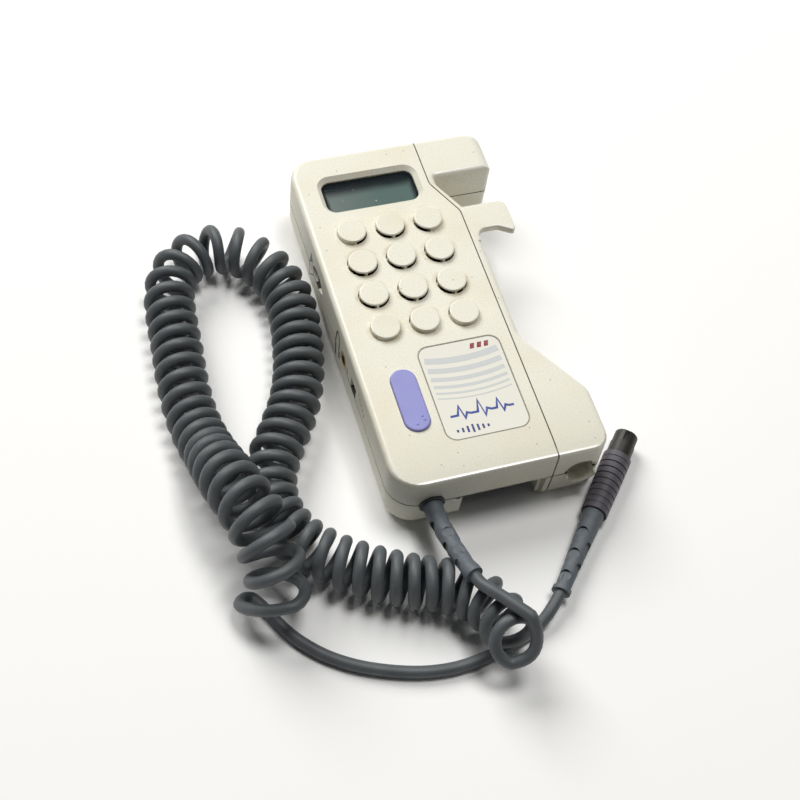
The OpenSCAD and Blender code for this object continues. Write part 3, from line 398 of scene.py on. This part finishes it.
metals = {
    "zincPlatedSteel": ("#B9BCC0", "#A3A6AB", 0.32, 2.0, 0.25, 0.004),  # plated: bright and cool
    "goldPlate": ("#D9B45A", "#C9A24B", 0.25, 2.0, 0.25, 0.003),  # plated: warm and bright
    "pressedSteel": ("#9A9DA1", "#8C8F94", 0.38, 3.0, 0.3, 0.005),  # stamped sheet: soft shine
}
habits = {"patchDetail": 3, "grainDetail": 2, "glossSwing": 0.15, "reliefStrength": 0.6}


def plainFinish(name, spec, metallic=0.0):
    first, second, roughness, patch, grain, depth = spec
    material, tree, shader, place = startMaterial(name)
    patches = addNode(tree, "ShaderNodeTexNoise", {
        "Scale": 1 / patch, "Detail": habits["patchDetail"]}, {"Vector": place}).outputs[0]
    grains = addNode(tree, "ShaderNodeTexNoise", {
        "Scale": 1 / grain, "Detail": habits["grainDetail"]}, {"Vector": place}).outputs[0]
    colour = addNode(tree, "ShaderNodeMix", {
        "data_type": "RGBA", 6: linearColour(first), 7: linearColour(second)}, {0: patches}).outputs[2]
    tree.links.new(colour, shader.inputs["Base Color"])
    gloss = addNode(tree, "ShaderNodeMapRange", {
        "To Min": roughness * (1 - habits["glossSwing"]),
        "To Max": roughness * (1 + habits["glossSwing"])}, {"Value": patches}).outputs[0]
    tree.links.new(gloss, shader.inputs["Roughness"])
    relief = addNode(tree, "ShaderNodeBump", {
        "Strength": habits["reliefStrength"], "Distance": depth * mm}, {"Height": grains})
    tree.links.new(relief.outputs[0], shader.inputs["Normal"])
    shader.inputs["Metallic"].default_value = metallic
    return material


made = {name: plainFinish(name, spec) for name, spec in finishes.items()}
made.update({name: plainFinish(name, spec, 1.0) for name, spec in metals.items()})


# Housing: ABS from a spark-eroded mould, so a satin face with a fine grain. Age has turned it slightly
# cream. Painted shade darkens the cord end, the rounded edges are glossier and carry a painted highlight,
# a darker brown ring lies round each loudspeaker cap, and dirt lies in the grooves. Places and sizes are in
# millimetres from the part's origin
shell = {
    "roughness": 0.5, "grain": 0.45, "grainDetail": 3, "grainDepth": 0.012, "grainStrength": 0.5,
    "ivory": "#EFEDDF", "cream": "#EBE5CF", "agePatch": 22.0, "ageDetail": 4, "ageRange": (0.45, 0.75),
    "speck": "#CFC9B2", "speckRange": (0.5, 0.72), "speckShare": 0.6,
    # painted shade: the housing is darkened towards the cord end
    "endShade": "#CBC7B4", "endShadeFrom": -38.0, "endShadeTo": -69.0, "endShadeShare": 0.38,
    # painted highlight colour on the rounded edges, which also get a lower roughness
    "edge": "#FBFAF2", "edgeRoughness": 0.2, "edgeShare": 0.4, "endEdgeShare": 0.95,
    "overRange": (0.99, 0.95), "underRange": (0.72, 0.85),  # how far up an edge's surface looks
    "endRange": (-0.05, -0.15), "endEdge": (-68.55, -68.95), "endEdgeAbove": 24.0, "endEdgeFacing": 0.5,
    # a darker brown ring round each cap
    "capRing": "#AE9C70", "capRingReach": 2.0, "capRingPatch": 5.0, "capRingDetail": 3, "capRingRange": (0.42, 0.68),
    "capRingShare": 0.75,
    "capAt": (-8.6, 18.8), "capStep": 14.0, "capRadius": 5.15, "capEdge": (0.3, 0.05),
    "grille": ((-8.6, 20.9), (11.8, 27.9)),  # middle and half width, across and along
    "mark": "#8A826C", "markCell": 6.5, "markSize": 0.2, "markRange": (1.6, 0.6), "markShare": 0.8,
    "markRarity": 0.86, "markFacing": 0.9,
    "seamDirt": "#3E3B32", "seamX": (18.27, 11.07), "seamBends": (34.5, 49.0), "seamHalf": 0.26,
    "seamTop": 26.85, "seamShare": 0.6, "partingZ": 13.5, "partingHalf": 0.21,
}


def agedColour(tree, place, grains):
    patches = addNode(tree, "ShaderNodeTexNoise", {
        "Scale": 1 / shell["agePatch"], "Detail": shell["ageDetail"]}, {"Vector": place}).outputs[0]
    age = addNode(tree, "ShaderNodeMapRange", {
        "From Min": shell["ageRange"][0], "From Max": shell["ageRange"][1]}, {"Value": patches}).outputs[0]
    specks = addNode(tree, "ShaderNodeMapRange", {
        "From Min": shell["speckRange"][0], "From Max": shell["speckRange"][1],
        "To Max": shell["speckShare"]}, {"Value": grains}).outputs[0]
    plain = addNode(tree, "ShaderNodeMix", {
        "data_type": "RGBA", 6: linearColour(shell["ivory"]), 7: linearColour(shell["cream"])},
        {0: age}).outputs[2]
    return addNode(tree, "ShaderNodeMix", {"data_type": "RGBA", 7: linearColour(shell["speck"])},
                   {0: specks, 6: plain}).outputs[2]


# painted shade, growing darker towards the cord end
def paintedEndShade(tree, axes):
    return addNode(tree, "ShaderNodeMapRange", {
        "interpolation_type": "SMOOTHSTEP", "From Min": shell["endShadeFrom"],
        "From Max": shell["endShadeTo"], "To Max": shell["endShadeShare"]}, {"Value": axes[1]}).outputs[0]


def polishAndHighlightEdges(tree, axes, facing):
    # mask of the rounded edges, where the surface turns over from the front, and of the sharper one at the
    # cord end; it lowers the roughness and carries a painted highlight
    over = addNode(tree, "ShaderNodeMapRange", {
        "From Min": shell["overRange"][0], "From Max": shell["overRange"][1]}, {"Value": facing[2]})
    under = addNode(tree, "ShaderNodeMapRange", {
        "From Min": shell["underRange"][0], "From Max": shell["underRange"][1]}, {"Value": facing[2]})
    edge = addNode(tree, "ShaderNodeMath", {"operation": "MULTIPLY"},
                   {0: over.outputs[0], 1: under.outputs[0]})
    rim = addNode(tree, "ShaderNodeMapRange", {
        "From Min": shell["endEdge"][0], "From Max": shell["endEdge"][1]}, {"Value": axes[1]})
    for source, limit in ((facing[2], shell["endEdgeFacing"]), (axes[2], shell["endEdgeAbove"])):
        chosen = addNode(tree, "ShaderNodeMath", {"operation": "GREATER_THAN", 1: limit}, {0: source})
        rim = addNode(tree, "ShaderNodeMath", {"operation": "MULTIPLY"},
                      {0: rim.outputs[0], 1: chosen.outputs[0]})
    return addNode(tree, "ShaderNodeMath", {"operation": "MAXIMUM"},
                   {0: edge.outputs[0], 1: rim.outputs[0]}).outputs[0]


def paintedHighlightShare(tree, edge, facing):
    # painted highlight on those edges, strongest on the ones that look to the cord end
    paintedHighlight = addNode(tree, "ShaderNodeMapRange", {
        "From Min": shell["endRange"][0], "From Max": shell["endRange"][1],
        "To Min": shell["edgeShare"], "To Max": shell["endEdgeShare"]}, {"Value": facing[1]}).outputs[0]
    return addNode(tree, "ShaderNodeMath", {"operation": "MULTIPLY"}, {0: edge, 1: paintedHighlight}).outputs[0]


def capRingMask(tree, place, axes):
    # a darker brown ring round each cap, broken up into patches
    half, radius = shell["capStep"] / 2, shell["capRadius"]
    local, inside = [], []
    for axis, middle, (grilleMiddle, grilleReach) in zip(axes, shell["capAt"], shell["grille"]):
        away = addNode(tree, "ShaderNodeMath", {"operation": "SUBTRACT", 1: middle}, {0: axis}).outputs[0]
        local.append(addNode(tree, "ShaderNodeMath", {
            "operation": "WRAP", 1: half, 2: -half}, {0: away}).outputs[0])
        inside.append(addNode(tree, "ShaderNodeMath", {
            "operation": "COMPARE", 1: grilleMiddle, 2: grilleReach}, {0: axis}).outputs[0])
    flat = addNode(tree, "ShaderNodeCombineXYZ", {}, {0: local[0], 1: local[1]}).outputs[0]
    reach = addNode(tree, "ShaderNodeVectorMath", {"operation": "LENGTH"}, {0: flat}).outputs["Value"]
    outward = addNode(tree, "ShaderNodeMapRange", {
        "From Min": radius - shell["capEdge"][0], "From Max": radius - shell["capEdge"][1]},
        {"Value": reach}).outputs[0]
    inward = addNode(tree, "ShaderNodeMapRange", {
        "From Min": radius + shell["capRingReach"], "From Max": radius}, {"Value": reach}).outputs[0]
    ringPatches = addNode(tree, "ShaderNodeTexNoise", {
        "Scale": 1 / shell["capRingPatch"], "Detail": shell["capRingDetail"]}, {"Vector": place}).outputs[0]
    capRing = addNode(tree, "ShaderNodeMapRange", {
        "From Min": shell["capRingRange"][0], "From Max": shell["capRingRange"][1],
        "To Max": shell["capRingShare"]}, {"Value": ringPatches}).outputs[0]
    for factor in (outward, inward, *inside):
        capRing = addNode(tree, "ShaderNodeMath", {"operation": "MULTIPLY"}, {0: capRing, 1: factor}).outputs[0]
    return capRing


def darkSpecks(tree, place, facing):
    # a few scattered specks on the faces that look up
    cells = addNode(tree, "ShaderNodeTexVoronoi", {
        "voronoi_dimensions": "2D", "Scale": 1 / shell["markCell"]}, {"Vector": place})
    size = shell["markSize"] / shell["markCell"]
    marks = addNode(tree, "ShaderNodeMapRange", {
        "From Min": size * shell["markRange"][0], "From Max": size * shell["markRange"][1],
        "To Max": shell["markShare"]}, {"Value": cells.outputs["Distance"]}).outputs[0]
    chance = addNode(tree, "ShaderNodeSeparateXYZ", {}, {0: cells.outputs["Color"]}).outputs[0]
    for source, limit in ((chance, shell["markRarity"]), (facing[2], shell["markFacing"])):
        chosen = addNode(tree, "ShaderNodeMath", {
            "operation": "GREATER_THAN", 1: limit}, {0: source}).outputs[0]
        marks = addNode(tree, "ShaderNodeMath", {"operation": "MULTIPLY"}, {0: marks, 1: chosen}).outputs[0]
    return marks


def grooveDirt(tree, axes):
    # grey dirt in the joint line beside the holder, which bends twice, and in the one round the sides
    seamX = addNode(tree, "ShaderNodeMapRange", {
        "From Min": shell["seamBends"][0], "From Max": shell["seamBends"][1],
        "To Min": shell["seamX"][0], "To Max": shell["seamX"][1]}, {"Value": axes[1]}).outputs[0]
    along = addNode(tree, "ShaderNodeMath", {"operation": "COMPARE", 2: shell["seamHalf"]},
                    {0: axes[0], 1: seamX}).outputs[0]
    below = addNode(tree, "ShaderNodeMath", {"operation": "LESS_THAN", 1: shell["seamTop"]},
                    {0: axes[2]}).outputs[0]
    seam = addNode(tree, "ShaderNodeMath", {"operation": "MULTIPLY", 1: shell["seamShare"]},
                   {0: below}).outputs[0]
    parting = addNode(tree, "ShaderNodeMath", {
        "operation": "COMPARE", 1: shell["partingZ"], 2: shell["partingHalf"]}, {0: axes[2]}).outputs[0]
    return addNode(tree, "ShaderNodeMath", {"operation": "MULTIPLY_ADD", "use_clamp": True},
                   {0: along, 1: seam, 2: parting}).outputs[0]


def mouldedAbs():
    material, tree, shader, place = startMaterial("mouldedAbs")
    axes = addNode(tree, "ShaderNodeSeparateXYZ", {}, {0: place}).outputs
    normal = addNode(tree, "ShaderNodeNewGeometry").outputs["Normal"]
    facing = addNode(tree, "ShaderNodeSeparateXYZ", {}, {0: normal}).outputs
    grains = addNode(tree, "ShaderNodeTexNoise", {
        "Scale": 1 / shell["grain"], "Detail": shell["grainDetail"]}, {"Vector": place}).outputs[0]
    edge = polishAndHighlightEdges(tree, axes, facing)
    colour = agedColour(tree, place, grains)
    # the layers add painted shade at the cord end, a painted highlight on the edges, a brown ring round the
    # caps, specks and groove dirt
    layers = {"endShade": paintedEndShade(tree, axes), "edge": paintedHighlightShare(tree, edge, facing),
              "capRing": capRingMask(tree, place, axes), "mark": darkSpecks(tree, place, facing),
              "seamDirt": grooveDirt(tree, axes)}
    for tone, share in layers.items():
        colour = addNode(tree, "ShaderNodeMix", {"data_type": "RGBA", 7: linearColour(shell[tone])},
                         {0: share, 6: colour}).outputs[2]
    tree.links.new(colour, shader.inputs["Base Color"])
    gloss = addNode(tree, "ShaderNodeMapRange", {
        "To Min": shell["roughness"], "To Max": shell["edgeRoughness"]}, {"Value": edge}).outputs[0]
    tree.links.new(gloss, shader.inputs["Roughness"])
    relief = addNode(tree, "ShaderNodeBump", {
        "Strength": shell["grainStrength"], "Distance": shell["grainDepth"] * mm}, {"Height": grains})
    tree.links.new(relief.outputs[0], shader.inputs["Normal"])
    return material


made["mouldedAbs"] = mouldedAbs()


# Display: a liquid crystal cell, grey-green, dark where the frame shades it above and at the sides and
# paler to the left. Places and sizes in millimetres
cell = {"middle": (-10.45, 51.15), "lit": "#7E9893", "pale": "#A0ABA7", "paleRange": (4.0, -18.0),
        "shade": "#1B1D22", "shadeFrom": 0.2, "shadeTo": 4.9, "sideFrom": 14.6, "sideTo": 16.9,
        "fogPatch": 8.333, "fogDetail": 2, "fogSwing": 0.8, "roughness": 0.25}


def displayCell():
    material, tree, shader, place = startMaterial("lcdPolariser")
    axes = addNode(tree, "ShaderNodeSeparateXYZ", {}, {0: place}).outputs
    fog = addNode(tree, "ShaderNodeTexNoise", {"Scale": 1 / cell["fogPatch"], "Detail": cell["fogDetail"]},
                  {"Vector": place}).outputs[0]
    wander = addNode(tree, "ShaderNodeMath", {
        "operation": "MULTIPLY_ADD", 1: cell["fogSwing"], 2: -cell["fogSwing"] / 2}, {0: fog}).outputs[0]
    upward = addNode(tree, "ShaderNodeMath", {"operation": "ADD"}, {0: axes[1], 1: wander}).outputs[0]
    top = addNode(tree, "ShaderNodeMapRange", {
        "interpolation_type": "SMOOTHSTEP", "From Min": cell["middle"][1] + cell["shadeFrom"],
        "From Max": cell["middle"][1] + cell["shadeTo"]}, {"Value": upward}).outputs[0]
    across = addNode(tree, "ShaderNodeMath", {"operation": "SUBTRACT", 1: cell["middle"][0]},
                     {0: axes[0]}).outputs[0]
    apart = addNode(tree, "ShaderNodeMath", {"operation": "ABSOLUTE"}, {0: across}).outputs[0]
    sides = addNode(tree, "ShaderNodeMapRange", {
        "interpolation_type": "SMOOTHSTEP", "From Min": cell["sideFrom"],
        "From Max": cell["sideTo"]}, {"Value": apart}).outputs[0]
    dark = addNode(tree, "ShaderNodeMath", {"operation": "MAXIMUM"}, {0: top, 1: sides}).outputs[0]
    haze = addNode(tree, "ShaderNodeMapRange", {
        "From Min": cell["paleRange"][0], "From Max": cell["paleRange"][1]}, {"Value": across}).outputs[0]
    glass = addNode(tree, "ShaderNodeMix", {
        "data_type": "RGBA", 6: linearColour(cell["lit"]), 7: linearColour(cell["pale"])},
        {0: haze}).outputs[2]
    colour = addNode(tree, "ShaderNodeMix", {"data_type": "RGBA", 7: linearColour(cell["shade"])},
                     {0: dark, 6: glass}).outputs[2]
    tree.links.new(colour, shader.inputs["Base Color"])
    shader.inputs["Roughness"].default_value = cell["roughness"]
    return material


# Window: clear polycarbonate, polished, slightly smoky, with fine wiping scratches that dull it in lines.
# The scratch size is its length, width and depth in millimetres
pane = {"tint": "#39464A", "cover": 0.22, "scratch": (5.952, 0.2381, 0.7143), "scratchTurn": 0.9,
        "scratchDetail": 3, "scratchRange": (0.6, 0.75), "roughness": (0.06, 0.4)}


def displayPane():
    material, tree, shader, place = startMaterial("clearPolycarbonate")
    stretched = addNode(tree, "ShaderNodeMapping", {
        "Rotation": (0, 0, pane["scratchTurn"]), "Scale": tuple(1 / size for size in pane["scratch"])},
        {"Vector": place}).outputs[0]
    lines = addNode(tree, "ShaderNodeTexNoise", {"Scale": 1, "Detail": pane["scratchDetail"]},
                    {"Vector": stretched}).outputs[0]
    gloss = addNode(tree, "ShaderNodeMapRange", {
        "From Min": pane["scratchRange"][0], "From Max": pane["scratchRange"][1],
        "To Min": pane["roughness"][0], "To Max": pane["roughness"][1]}, {"Value": lines}).outputs[0]
    tree.links.new(gloss, shader.inputs["Roughness"])
    shader.inputs["Base Color"].default_value = linearColour(pane["tint"])
    shader.inputs["Alpha"].default_value = pane["cover"]
    return material


made["lcdPolariser"] = displayCell()
made["displayPolycarbonate"] = displayPane()


# Connector grip: moulded rubber with fine lines running round it
grip = {"first": "#65626A", "second": "#4D4A52", "roughness": 0.5, "lineSpacing": 0.3846, "lineDetail": 3,
        "depth": 0.05, "strength": 0.7}


def gripFinish():
    material, tree, shader, place = startMaterial("connectorRubber")
    along = addNode(tree, "ShaderNodeVectorMath", {"operation": "DOT_PRODUCT", 1: tuple(plugDirection())},
                    {0: place}).outputs[1]
    rings = addNode(tree, "ShaderNodeTexNoise", {
        "noise_dimensions": "1D", "Scale": 1 / grip["lineSpacing"], "Detail": grip["lineDetail"]},
        {"W": along}).outputs[0]
    colour = addNode(tree, "ShaderNodeMix", {
        "data_type": "RGBA", 6: linearColour(grip["first"]), 7: linearColour(grip["second"])},
        {0: rings}).outputs[2]
    tree.links.new(colour, shader.inputs["Base Color"])
    relief = addNode(tree, "ShaderNodeBump", {"Strength": grip["strength"], "Distance": grip["depth"] * mm},
                     {"Height": rings})
    tree.links.new(relief.outputs[0], shader.inputs["Normal"])
    shader.inputs["Roughness"].default_value = grip["roughness"]
    return material


made["connectorRubber"] = gripFinish()

dress = {
    "mouldedAbs": ["front_shell", "rear_shell", "holder_front", "holder_rear"],
    "displayPolycarbonate": ["display_window"],
    "lcdPolariser": ["lcd_panel"],
    "blackAbs": ["lcd_frame", "power_switch", "volume_wheel", "headphone_jack", "data_socket",
                 "battery_snap", "contact_insert"],
    "greySilicone": ["lcd_connector", "volume_pot"],
    "lavenderSilicone": ["power_key"],
    "acetalStem": ["switch_stem"],
    "labelFilm": ["label_plate"],
    "acousticCloth": ["dust_cloth"],
    "pressedSteel": ["speaker_frame"],
    "paperCone": ["speaker_cone"],
    "ferriteMagnet": ["speaker_magnet"],
    "greenSolderMask": ["main_board"],
    "blackEpoxy": ["board_chips"],
    "nylonHeader": ["lead_header"],
    "goldPlate": ["jack_ring", "contact_pins"],
    "zincPlatedSteel": ["snap_contacts", "housing_screws", "board_screws"],
    "batterySleeve": ["battery"],
    "redPvcWire": ["battery_leads"],
    "cordPolyurethane": ["inner_lead"],
    "glandRubber": ["cable_gland"],
    "reliefRubber": ["gland_relief", "connector_relief"],
    "connectorRubber": ["connector_sleeve", "connector_body"],
    "barrelResin": ["connector_barrel"],
}
for finish, members in dress.items():
    for name in members:
        nodes[name].material_slots[0].material = made[finish]
        smoothShape(nodes[name])
probeLead.data.materials.append(made["cordPolyurethane"])
contactShroud.data.materials.append(made["blackAbs"])
print("finishes on", sum(len(members) for members in dress.values()), "nodes")


# Inks: a thin matt coat that lets a little of the film through where the pad lifted it.
# The darker grey is painted shade along the label's edge. The last one is the pale fibre of the dust on the
# window, which is as flat as an ink
inks = {"bandGrey": "#CDD1D1", "waveBlue": "#27439A", "deepBlue": "#2B3A7E", "markRed": "#8E2732",
        "gapShadeGrey": "#6E6B60", "padBlack": "#26262A", "lintWhite": "#F6F6F2"}
coating = {"film": "#E9E7DC", "patch": 0.8, "patchDetail": 3, "thinFrom": 0.45, "thinTo": 0.8,
           "thinning": 0.16, "roughness": (0.4, 0.5)}


def makeInk(name):
    material, tree, shader, place = startMaterial(name)
    patches = addNode(tree, "ShaderNodeTexNoise", {
        "Scale": 1 / coating["patch"], "Detail": coating["patchDetail"]}, {"Vector": place}).outputs[0]
    thin = addNode(tree, "ShaderNodeMapRange", {
        "From Min": coating["thinFrom"], "From Max": coating["thinTo"], "To Max": coating["thinning"]},
        {"Value": patches}).outputs[0]
    coat = addNode(tree, "ShaderNodeMix", {
        "data_type": "RGBA", 6: linearColour(inks[name]), 7: linearColour(coating["film"])},
        {0: thin}).outputs[2]
    tree.links.new(coat, shader.inputs["Base Color"])
    gloss = addNode(tree, "ShaderNodeMapRange", {
        "To Min": coating["roughness"][0], "To Max": coating["roughness"][1]},
        {"Value": patches}).outputs[0]
    tree.links.new(gloss, shader.inputs["Roughness"])
    return material


made.update({name: makeInk(name) for name in inks})


# Printing: shapes are drawn flat in millimetres and laid a hair above the surface that carries them
def addPrint(name, shapes, toPlace, ink):
    corners, faces = [], []
    for shape in shapes:
        faces.append(list(range(len(corners), len(corners) + len(shape))))
        corners += [Vector(toPlace(u, v)) * mm for u, v in shape]
    mesh = bpy.data.meshes.new(name)
    mesh.from_pydata(corners, [], faces)
    mesh.materials.append(made[ink])
    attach(addObject(name, mesh), "root")


def strip(points, width):
    # quads along a drawn line, mitred where it bends, with the mitre limited at sharp bends
    sharpest = 0.5
    line = [Vector(point) for point in points]
    runs = [(b - a).normalized() for a, b in zip(line, line[1:])]
    sides = []
    for i, point in enumerate(line):
        first, second = runs[max(i - 1, 0)], runs[min(i, len(runs) - 1)]
        bisector = (first + second).normalized()
        normal = Vector((-bisector.y, bisector.x))
        reach = width / 2 / max(abs(bisector.dot(first)), sharpest)
        sides.append((point + normal * reach, point - normal * reach))
    return [(a[0], a[1], b[1], b[0]) for a, b in zip(sides, sides[1:])]


def roundedRing(width, length, radius, thickness):
    # quads round a rectangle with round corners
    cornerSteps = 6

    def ring(inset):
        points = []
        for sx, sy, start in ((1, 1, 0), (-1, 1, 90), (-1, -1, 180), (1, -1, 270)):
            for k in range(cornerSteps + 1):
                angle = math.radians(start + 90 / cornerSteps * k)
                points.append((sx * (width / 2 - radius) + (radius - inset) * math.cos(angle),
                               sy * (length / 2 - radius) + (radius - inset) * math.sin(angle)))
        return points

    outer, inner = ring(0), ring(thickness)
    count = len(outer)
    return [(outer[k], outer[(k + 1) % count], inner[(k + 1) % count], inner[k]) for k in range(count)]


# Label: arched grey bands with a blue trace, small bars and red marks, a layout of its own.
# Places count from the label's middle
label = {
    "middle": (-0.8, -38.15), "height": 26.92, "layer": 0.02, "width": 29.1, "length": 37.2, "corner": 4.0,
    "line": 0.3,
    "bands": [(11.6, 2.4), (7.6, 2.0), (4.1, 1.6), (1.1, 1.2), (-1.4, 0.8), (-3.5, 0.5)],  # place and width
    "bandHalf": 12.9, "sag": 1.5, "bandSteps": 16,
    "trace": [(-11, 0), (-8.4, 0), (-7.3, 3.4), (-6.2, -1.5), (-5.2, 0.5), (-3.8, 0), (-1.5, 0), (-0.4, 4.4),
              (0.7, -1.9), (1.8, 0.7), (3.2, 0), (5.1, 0), (6.1, 3.4), (7.2, -1.5), (8.2, 0.5), (9.3, 0),
              (11, 0)],
    "traceAt": -9.6, "traceWidth": 0.85,
    "bars": [1.0, 1.7, 2.4, 3.1, 2.4, 1.7, 1.0], "barAt": (-10.6, -15.3), "barStep": 1.75, "barWidth": 0.75,
    "marks": 3, "markAt": (3.6, 14.6), "markStep": 2.5, "markSize": (1.5, 2.1), "markLean": 0.7}


def onLabel(u, v):
    return label["middle"][0] + u, label["middle"][1] + v, label["height"]


def onLabelPrint(u, v):
    # the second layer of ink
    return label["middle"][0] + u, label["middle"][1] + v, label["height"] + label["layer"]


def bandShapes():
    shapes, steps = [], label["bandSteps"]
    for middle, width in label["bands"]:
        shares = [2 * k / steps - 1 for k in range(steps + 1)]
        shapes += strip([(label["bandHalf"] * s, middle + label["sag"] * s ** 2) for s in shares], width)
    return shapes


def barShapes():
    shapes = []
    for k, height in enumerate(label["bars"]):
        left, foot = label["barAt"][0] + k * label["barStep"], label["barAt"][1] - height / 2
        right, head = left + label["barWidth"], foot + height
        shapes.append(((left, foot), (right, foot), (right, head), (left, head)))
    return shapes


def markShapes():
    shapes = []
    for k in range(label["marks"]):
        left, foot = label["markAt"][0] + k * label["markStep"], label["markAt"][1]
        right, head = left + label["markSize"][0], foot + label["markSize"][1]
        lean = label["markLean"]
        shapes.append(((left, foot), (right, foot), (right + lean, head), (left + lean, head)))
    return shapes


# painted shade: a thin grey line round the label's edge stands in for the shade in the gap round the plate
addPrint("labelGapShade", roundedRing(label["width"], label["length"], label["corner"], label["line"]),
         onLabel, "gapShadeGrey")
addPrint("labelBands", bandShapes(), onLabel, "bandGrey")
addPrint("labelTrace", strip([(u, v + label["traceAt"]) for u, v in label["trace"]], label["traceWidth"]),
         onLabelPrint, "waveBlue")
addPrint("labelBars", barShapes(), onLabelPrint, "deepBlue")
addPrint("labelMarks", markShapes(), onLabelPrint, "markRed")


# Pad-printed symbols on the left side: places are along the side and up it. Below the parting line the side
# leans inward towards the foot
pad = {"face": -37.02, "parting": 13.5, "lean": 0.5,
       "thin": 0.45, "band": 0.9, "cup": 1.5, "tick": 0.7, "dashWidth": 0.5,
       "dash": ((-28.6, 21.4), (-29.2, 20.1)), "dashStep": (-1.6, -0.8), "dashes": 5}


def onSide(u, v):
    inward = pad["lean"] * (1 - v / pad["parting"]) if v < pad["parting"] else 0
    return pad["face"] + inward, u, v


def dashShapes():
    shapes = []
    for k in range(pad["dashes"]):
        shapes += strip([(u + pad["dashStep"][0] * k, v + pad["dashStep"][1] * k) for u, v in pad["dash"]],
                        pad["dashWidth"])
    return shapes


symbols = {
    "volumeSolid": [((32.3, 20.9), (33.9, 13.9), (30.1, 17.6))],
    "volumeOpen": strip([(33.8, 12.9), (34.0, 6.6), (28.6, 12.4), (29.9, 16.6)], pad["thin"]),
    "headphones": strip([(-1.9, 6.4), (-1.3, 13.1)], pad["cup"])
    + strip([(-1.3, 13.9), (-1.9, 19.6), (-3.1, 21.0), (-4.4, 20.2), (-5.3, 17.4), (-5.6, 13.9)], pad["band"])
    + strip([(-5.7, 13.1), (-5.9, 9.2)], pad["cup"]),
    "socketMark": strip([(-15.2, 17.2), (-16.3, 14.6)], pad["tick"]),
    "dataMark": dashShapes(),
}
for name, shapes in symbols.items():
    addPrint(name, shapes, onSide, "padBlack")
print("printing laid on")


# Pips moulded on the key, beside its middle; rings are radius and height in millimetres
keyPips = {"middle": (-22.8, -38.7, 27.89), "at": ((1.9, -6.9), (2.3, -8.4), (-0.4, -9.6)), "sides": 16,
           "rings": [(0.55, 0.0), (0.5, 0.09), (0.36, 0.16), (0.2, 0.2), (0.02, 0.21)]}
upright = Quaternion((0, 0, 1), 0)


def makePips():
    x, y, z = keyPips["middle"]
    for k, (u, v) in enumerate(keyPips["at"]):
        name, place = "keyPip" + str(k + 1), (x + u, y + v, z)
        pip = addLathe(name, keyPips["rings"], place, upright, "key", keyPips["sides"])
        pip.data.materials.append(made["lavenderSilicone"])


# Thin bead round the gland where it leaves the housing
glandEdge = {"place": (-23.6, -70.6, 13.5), "radius": 4.12, "thickness": 0.16, "step": 30, "sides": 40}


def makeGlandRing():
    radius, thickness = glandEdge["radius"], glandEdge["thickness"]
    angles = [math.radians(a) for a in range(0, 361, glandEdge["step"])]
    rings = [(radius + thickness * math.cos(a), thickness * math.sin(a)) for a in angles]
    forward = Quaternion((1, 0, 0), math.radians(90))
    ring = addLathe("glandRing", rings, glandEdge["place"], forward, "root", glandEdge["sides"])
    ring.data.materials.append(made["reliefRubber"])


# Specks of dust on the window: place across and along, and radius. The rings are shares of the radius
lint = {"height": 24.8, "rings": [(1, 0), (0.7, 0.4), (0.1, 0.5)], "sides": 12,
        "specks": {"dustSpeck1": (-9.3, 47.0, 0.22), "dustSpeck2": (-16.2, 53.6, 0.12),
                   "dustSpeck3": (-21.0, 49.4, 0.13)}}


def makeDust():
    for name, (x, y, radius) in lint["specks"].items():
        rings = [(r * radius, h * radius) for r, h in lint["rings"]]
        speck = addLathe(name, rings, (x, y, lint["height"]), upright, "root", lint["sides"])
        speck.data.materials.append(made["lintWhite"])


# Collar round the lower half of the probe channel's mouth. Its profile is a radius and a place along the
# channel, which runs along Y; the angles are in degrees
collar = {"place": (28.2, -70.0, 13.5), "from": 184, "to": 350, "steps": 24, "smoothAngle": 50,
          "profile": [(4.72, 0.3), (4.72, -1.35), (4.85, -1.5), (5.45, -1.5), (5.6, -1.35), (5.6, 0.3)]}


def makeCollar():
    x, y, z = collar["place"]
    sides, steps, corners = len(collar["profile"]), collar["steps"], []
    for k in range(steps + 1):
        angle = math.radians(collar["from"] + (collar["to"] - collar["from"]) * k / steps)
        corners += [Vector((x + r * math.cos(angle), y + out, z + r * math.sin(angle))) * mm
                    for r, out in collar["profile"]]
    faces = [tuple(reversed(range(sides))), tuple(range(steps * sides, (steps + 1) * sides))]
    for k in range(steps):
        for j in range(sides):
            m = (j + 1) % sides
            faces.append((k * sides + j, (k + 1) * sides + j, (k + 1) * sides + m, k * sides + m))
    mesh = bpy.data.meshes.new("channelCollar")
    mesh.from_pydata(corners, [], faces)
    mesh.materials.append(made["mouldedAbs"])
    obj = addObject("channelCollar", mesh)
    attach(obj, "root")
    smoothShape(obj, collar["smoothAngle"])


makePips()
makeGlandRing()
makeDust()
makeCollar()
print("small pieces added")
